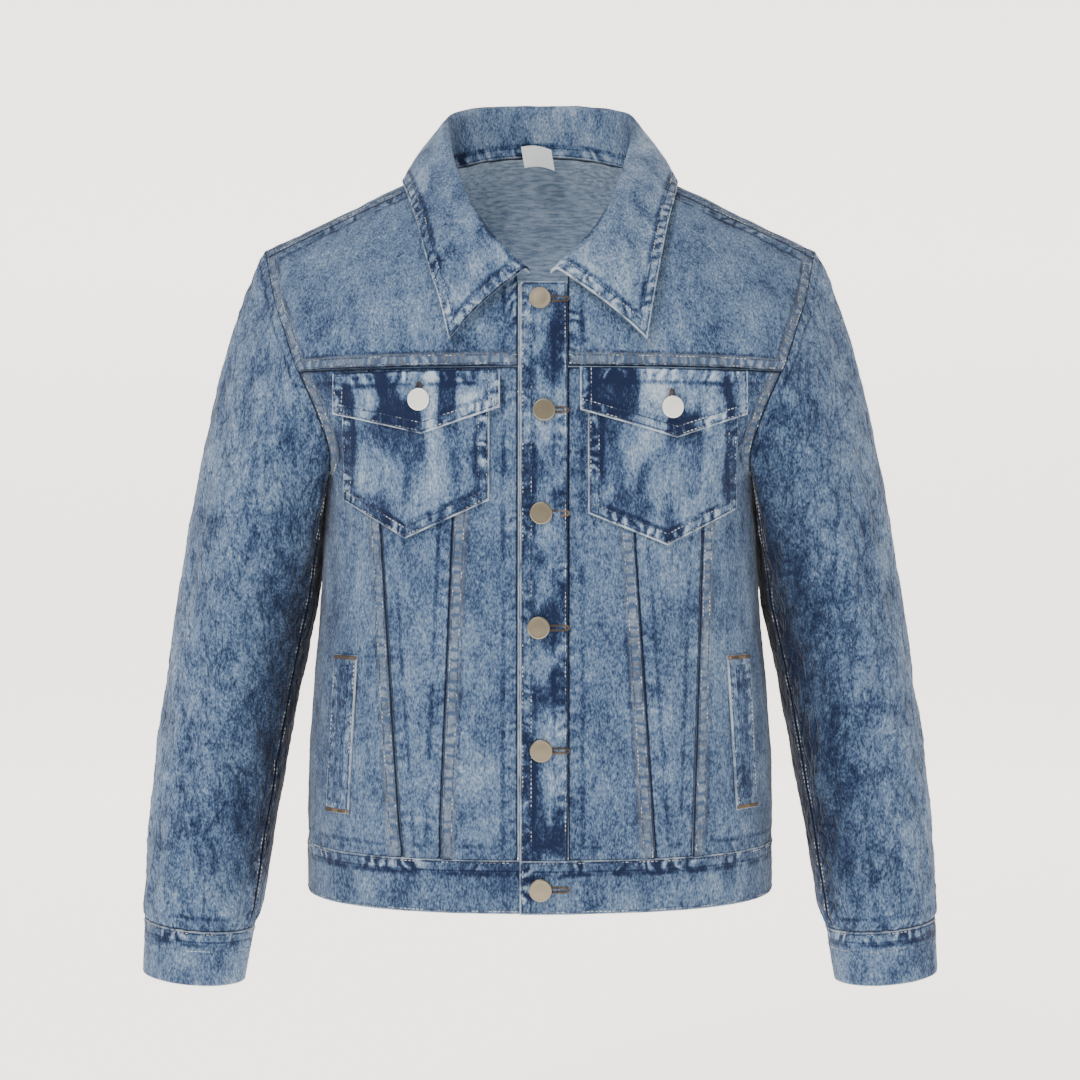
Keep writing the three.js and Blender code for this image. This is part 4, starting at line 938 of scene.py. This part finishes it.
STITCHES = stitch_nodes("stitches")
SOCKETS = {item.name: item.identifier for item in STITCHES.interface.items_tree if item.in_out == "INPUT"}
for kind, marks in rows_of_stitches.items():
    at, tangent, normal = (np.concatenate([mark[k] for mark in marks]) for k in range(3))
    mesh = bpy.data.meshes.new(f"{kind}_marks")
    mesh.from_pydata((at * MM).tolist(), [], [])
    for key, values in (("tangent", tangent), ("facing", normal)):
        layer = mesh.attributes.new(key, "FLOAT_VECTOR", "POINT")
        layer.data.foreach_set("vector", values.astype(np.float32).ravel())
    marks_object = bpy.data.objects.new(f"{kind}_marks", mesh)
    bpy.context.collection.objects.link(marks_object)
    modifier = marks_object.modifiers.new("stitches", "NODES")
    modifier.node_group = STITCHES
    modifier[SOCKETS["Length"]] = (STITCH_LENGTH if kind == "thread" else 2.4) * MM
    modifier[SOCKETS["Radius"]] = THREAD_RADIUS * MM
    modifier[SOCKETS["Thread"]] = MATERIALS[kind]
    evaluated = marks_object.evaluated_get(bpy.context.evaluated_depsgraph_get())
    stitched = bpy.data.meshes.new_from_object(evaluated)
    stitched.name = f"{kind}_stitches"
    stitched.shade_smooth()
    piece = bpy.data.objects.new(f"{kind}_stitches", stitched)
    bpy.context.collection.objects.link(piece)
    bpy.data.objects.remove(marks_object)
    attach(piece, "root")
    print(kind, len(at), "stitches,", sum(len(p.vertices) - 2 for p in stitched.polygons), "triangles")

# %% [markdown]
# ## Shader helper
# Shader maths is written as plain expressions: a wrapped socket adds, multiplies and clamps.

# %% Shader helper
class Value:
    """A shader socket that takes part in arithmetic."""

    def __init__(self, paint, socket):
        self.paint, self.socket = paint, socket

    def _math(self, operation, *others, clamp=False):
        node = self.paint.tree.nodes.new("ShaderNodeMath")
        node.operation, node.use_clamp = operation, clamp
        for k, value in enumerate(others):
            self.paint.feed(value, node.inputs[k])
        return Value(self.paint, node.outputs[0])

    def __add__(self, other):
        return self._math("ADD", self, other)

    def __radd__(self, other):
        return self._math("ADD", other, self)

    def __sub__(self, other):
        return self._math("SUBTRACT", self, other)

    def __mul__(self, other):
        return self._math("MULTIPLY", self, other)

    def __rmul__(self, other):
        return self._math("MULTIPLY", other, self)

    def clamp(self):
        return self._math("ADD", self, 0.0, clamp=True)

    def abs(self):
        return self._math("ABSOLUTE", self)

    def sin(self):
        return self._math("SINE", self)

    def step(self, low, high):
        """Rises smoothly from 0 at low to 1 at high; the other way when low is larger."""
        node = self.paint.tree.nodes.new("ShaderNodeMapRange")
        node.interpolation_type = "SMOOTHSTEP"
        self.paint.feed(self, node.inputs["Value"])
        swapped = low > high
        limits = (*sorted((low, high)), *((1, 0) if swapped else (0, 1)))
        for key, limit in zip(("From Min", "From Max", "To Min", "To Max"), limits):
            node.inputs[key].default_value = limit
        return Value(self.paint, node.outputs["Result"])


class Paint:
    """Builds one material's nodes."""

    def __init__(self, material):
        material.use_nodes = True
        self.tree = material.node_tree
        self.surface = self.tree.nodes["Principled BSDF"]

    def feed(self, value, socket):
        if isinstance(value, Value):
            self.tree.links.new(value.socket, socket)
        else:
            socket.default_value = value

    def node(self, kind, settings=None, out=0, **inputs):
        node = self.tree.nodes.new(kind)
        for key, value in (settings or {}).items():
            setattr(node, key, value)
        for key, value in inputs.items():
            self.feed(value, node.inputs[key.replace("_", " ")])
        return Value(self, node.outputs[out])

    def attribute(self, name):
        return self.node("ShaderNodeAttribute", {"attribute_name": name}, out="Fac")

    def place(self):
        return self.node("ShaderNodeTexCoord", out="Object")

    def scaled(self, vector, scale):
        return self.node("ShaderNodeMapping", Vector=vector, Scale=scale)

    def slanted(self, vector, turn):
        return self.node("ShaderNodeMapping", Vector=vector, Rotation=(0.2, turn, 0.3), Scale=(1.0, 1.0, 0.4))

    def noise(self, vector, scale, detail=3.0, roughness=0.5, distortion=0.0):
        return self.node("ShaderNodeTexNoise", Vector=vector, Scale=scale, Detail=detail,
                         Roughness=roughness, Distortion=distortion)

    def mix(self, factor, a, b):
        node = self.tree.nodes.new("ShaderNodeMix")
        node.data_type = "RGBA"
        self.feed(factor, node.inputs[0])
        self.feed(a, node.inputs[6])
        self.feed(b, node.inputs[7])
        return Value(self, node.outputs[2])

    def bump(self, height, strength, distance):
        return self.node("ShaderNodeBump", Height=height, Strength=strength, Distance=distance)


def linear(red, green, blue):
    """A colour as read from a screen, 0 to 255, made linear."""
    def one(v):
        v = v / 255
        return v / 12.92 if v <= 0.04045 else ((v + 0.055) / 1.055) ** 2.4
    return (one(red), one(green), one(blue), 1.0)


# %% [markdown]
# ## Stone-washed denim
# Indigo sits on the outside of the yarn. Tumbling with stones rubs it off in flecks, and off
# every raised edge. It stays in the hollows beside a seam, in a row of short cross-marks.

# %% Denim
PALE, MIDDLE = linear(172, 186, 203), linear(107, 128, 156)
DARK, NAVY = linear(62, 83, 116), linear(18, 30, 60)
REVERSE_DARK = linear(128, 148, 174)
REVERSE, WORN, GREYED = linear(192, 208, 226), linear(180, 190, 201), linear(136, 143, 152)
SHADE = linear(12, 20, 38)
paint = Paint(MATERIALS["denim"])
place = paint.place()
seam, rope, fray = paint.attribute("seam"), paint.attribute("rope"), paint.attribute("fray")
tone, reverse, height = paint.attribute("tone"), paint.attribute("reverse"), paint.attribute("height")
marks, dye_and_shade, band = paint.attribute("marks"), paint.attribute("dye_and_shade"), paint.attribute("band")
creased = paint.attribute("creased")
stretched = paint.scaled(place, (1.0, 1.0, 0.5))
fleck = paint.noise(stretched, 800, 2, 0.6, 0.2)
speck = paint.noise(stretched, 330, 1, 0.6, 0.3)
blot = paint.noise(stretched, 75, 2, 0.55, 0.3)
cloud = paint.noise(place, 18, 1, 0.5)
broad = paint.noise(paint.scaled(place, (1.0, 1.0, 0.45)), 44, 1, 0.5, 0.3)
uneven = paint.noise(place, 45, 2, 0.6)
# Thin wrinkle lines. They cut grooves in the bump, and the wash paints them darker: painted shade in the
# creases.
wrinkle_one = (paint.noise(paint.slanted(place, 0.6), 64, 1, 0.5, 0.6) - 0.5).abs().step(0.07, 0.0)
wrinkle_two = (paint.noise(paint.slanted(place, -0.75), 78, 1, 0.5, 0.6) - 0.5).abs().step(0.065, 0.0)
wrinkles = (wrinkle_one + wrinkle_two) * creased
wash = (fleck - 0.5) * 1.35 + (speck - 0.5) * 0.45 + (blot - 0.5) * 0.45 + (cloud - 0.5) * 0.45 + 0.43
# Darker by the dye attribute: a dye tone on most pieces, and painted shade on the sleeves and side panels
# toward the body. The wrinkle lines are darkened here as painted shade.
wash = wash + height * 0.16 - dye_and_shade * 0.5 - wrinkles * 0.12
cross = (rope * 0.6 + uneven * 20 + blot * 7).sin() * 0.5 + 0.5
near_seam = seam.step(13, 5) * uneven.step(0.36, 0.6)
wash = wash + near_seam * marks * (cross - 0.55) * 0.85
trough = seam.step(14, 10.5) * seam.step(8, 10.5)
wash = wash - trough * (0.2 + marks * 0.25) * uneven.step(0.3, 0.6)
wash = wash - broad.step(0.49, 0.62) * tone * 0.75 + broad.step(0.47, 0.34) * tone * 0.4
# A dark line along each sewn edge: partly the dark seam line itself, partly painted shade as in the seam's
# crevice.
seam_line_shade = seam.step(1.7, 0.3) * fray.step(1.5, 3.0)
sewn_zone = (band + fray.step(14, 12)).clamp()
groove = (seam - NEAR_ROW).abs().step(1.0, 0.2) + (seam - FAR_ROW).abs().step(1.1, 0.2)
wash = wash - seam_line_shade * 0.5 - groove * sewn_zone * 0.28
colour = paint.mix(wash.step(-0.2, 0.45), NAVY, DARK)
colour = paint.mix(wash.step(0.15, 0.7), colour, MIDDLE)
colour = paint.mix(wash.step(0.5, 1.15), colour, PALE)
greyed = band * (0.26 + 0.6 * (blot - 0.4)) * seam.step(0.5, 2.0)
colour = paint.mix(greyed.clamp(), colour, GREYED)
ticks = (rope * 0.78 + uneven * 9).sin().step(0.1, 0.8) * (seam - 5.2).abs().step(4.2, 2.6) * band
colour = paint.mix(ticks * uneven.step(0.32, 0.46) * 0.9, colour, DARK)
worn = fray.step(1.5, 0.5) * (0.6 + 3.0 * (blot - 0.5))
colour = paint.mix(worn.clamp() * 0.8, colour, WORN)
# Painted shade: the seam lines are mixed toward the shade colour.
colour = paint.mix(seam_line_shade * 0.5, colour, SHADE)
# Mixed toward the shade colour by the same attribute: painted shade on the sleeves and side panels beside the
# body, a dye tone elsewhere.
colour = paint.mix((dye_and_shade * 0.75).clamp(), colour, SHADE)
yarn = paint.noise(paint.scaled(place, (0.25, 1.0, 1.6)), 330, 3, 0.6)
back_colour = paint.mix(yarn.step(0.3, 0.7), REVERSE_DARK, REVERSE)
colour = paint.mix(reverse * 0.9, colour, back_colour)
paint.feed(colour, paint.surface.inputs["Base Color"])
paint.surface.inputs["Roughness"].default_value = 0.92
paint.surface.inputs["Specular IOR Level"].default_value = 0.15
paint.surface.inputs["Sheen Weight"].default_value = 0.12
paint.surface.inputs["Sheen Roughness"].default_value = 0.5
weave_place = paint.node("ShaderNodeUVMap", {"uv_map": "weave"})
twill = paint.node("ShaderNodeTexWave", {"bands_direction": "DIAGONAL"},
                   Vector=weave_place, Scale=320.0, Distortion=0.6)
relief = twill * 0.5 + fleck * 1.3 + speck * 1.0 - wrinkles * 2.6
paint.feed(paint.bump(relief, 0.55, 0.0006), paint.surface.inputs["Normal"])

# %% [markdown]
# ## Thread, metal and label
# The thread is cotton, washed with the cloth. The buttons are brushed, plated metal; the flap buttons take a
# paler, less metallic copy of it, a painted highlight.

# %% Other materials
for name, dark, pale in (
    ("thread", linear(38, 52, 82), linear(192, 198, 203)),
    ("thread_ochre", linear(66, 56, 50), linear(110, 92, 76)),
):
    paint = Paint(MATERIALS[name])
    worn = paint.noise(paint.place(), 90, 2, 0.5).step(0.45, 0.66)
    paint.feed(paint.mix(worn, dark, pale), paint.surface.inputs["Base Color"])
    paint.surface.inputs["Roughness"].default_value = 0.8

for name, dark, pale in (
    ("pewter", linear(130, 120, 102), linear(156, 146, 128)),
    ("pewter_highlight", linear(240, 238, 232), linear(250, 249, 246)),
):
    paint = Paint(MATERIALS[name])
    brushed = paint.noise(paint.scaled(paint.place(), (40.0, 1.0, 400.0)), 12, 3, 0.6)
    paint.feed(paint.mix(brushed, dark, pale), paint.surface.inputs["Base Color"])
    paint.feed(0.34 + brushed * 0.14, paint.surface.inputs["Roughness"])
    paint.surface.inputs["Metallic"].default_value = 0.8 if name == "pewter" else 0.35

paint = Paint(MATERIALS["label_cloth"])
paint.surface.inputs["Base Color"].default_value = linear(236, 238, 240)
paint.surface.inputs["Roughness"].default_value = 0.75
weave_place = paint.node("ShaderNodeUVMap", {"uv_map": "weave"})
ribs = paint.node("ShaderNodeTexWave", {"bands_direction": "Y"}, Vector=weave_place, Scale=400.0)
paint.feed(paint.bump(ribs, 0.2, 0.0002), paint.surface.inputs["Normal"])

# %% [markdown]
# ## Studio
# The photo has a plain pale ground and soft light from all round, a little stronger from
# the upper left. The floor lies well below and curves up behind, so no horizon shows.

# %% Floor, light and camera
GROUND = linear(233, 229, 221)
floor_mesh = bpy.data.meshes.new("floor")
floor_z, wide, front, back, bend = -0.95, 9.0, -6.0, 3.2, 1.6
profile = [(front, floor_z)]
profile += [
    (back + bend * math.sin(t), floor_z + bend * (1 - math.cos(t))) for t in np.linspace(0, math.pi / 2, 16)
]
profile.append((back + bend, 6.0))
floor_points = [(x, y, z) for y, z in profile for x in (-wide, wide)]
floor_faces = [(2 * k, 2 * k + 1, 2 * k + 3, 2 * k + 2) for k in range(len(profile) - 1)]
floor_mesh.from_pydata(floor_points, [], floor_faces)
floor_mesh.shade_smooth()
floor = bpy.data.objects.new("floor", floor_mesh)
bpy.context.collection.objects.link(floor)
floor_material = bpy.data.materials.new("floor")
floor_paint = Paint(floor_material)
floor_paint.surface.inputs["Base Color"].default_value = GROUND
floor_paint.surface.inputs["Roughness"].default_value = 0.95
floor_paint.surface.inputs["Emission Color"].default_value = GROUND
floor_paint.surface.inputs["Emission Strength"].default_value = 2.9
floor_mesh.materials.append(floor_material)

world = bpy.data.worlds.new("studio")
world.use_nodes = True
world.node_tree.nodes["Background"].inputs["Color"].default_value = GROUND
world.node_tree.nodes["Background"].inputs["Strength"].default_value = 0.08
bpy.context.scene.world = world

for name, spot, power, size in (
    ("key", (-1.1, -2.2, 2.0), 62, 0.5), ("left_side", (-2.4, -0.9, 0.1), 8, 1.0),
    ("right_side", (2.4, -0.9, 0.1), 9, 1.0), ("collar_top", (0, -0.9, 1.8), 14, 0.8),
):
    lamp = bpy.data.lights.new(name, "AREA")
    lamp.energy, lamp.size = power, size
    light = bpy.data.objects.new(name, lamp)
    light.location = spot
    aim = np.array([0, 0, -0.3]) - np.array(spot)
    light.rotation_euler = Vector(aim).to_track_quat("-Z", "Y").to_euler()
    bpy.context.collection.objects.link(light)

camera_data = bpy.data.cameras.new("camera")
camera_data.sensor_width = 36
camera_data.lens = 36 / (2 * math.tan(math.radians(32.9) / 2))
camera = bpy.data.objects.new("camera", camera_data)
camera.location = (0, -1.5, -0.3)
camera.rotation_euler = (math.radians(90), 0, 0)
bpy.context.collection.objects.link(camera)
bpy.context.scene.camera = camera
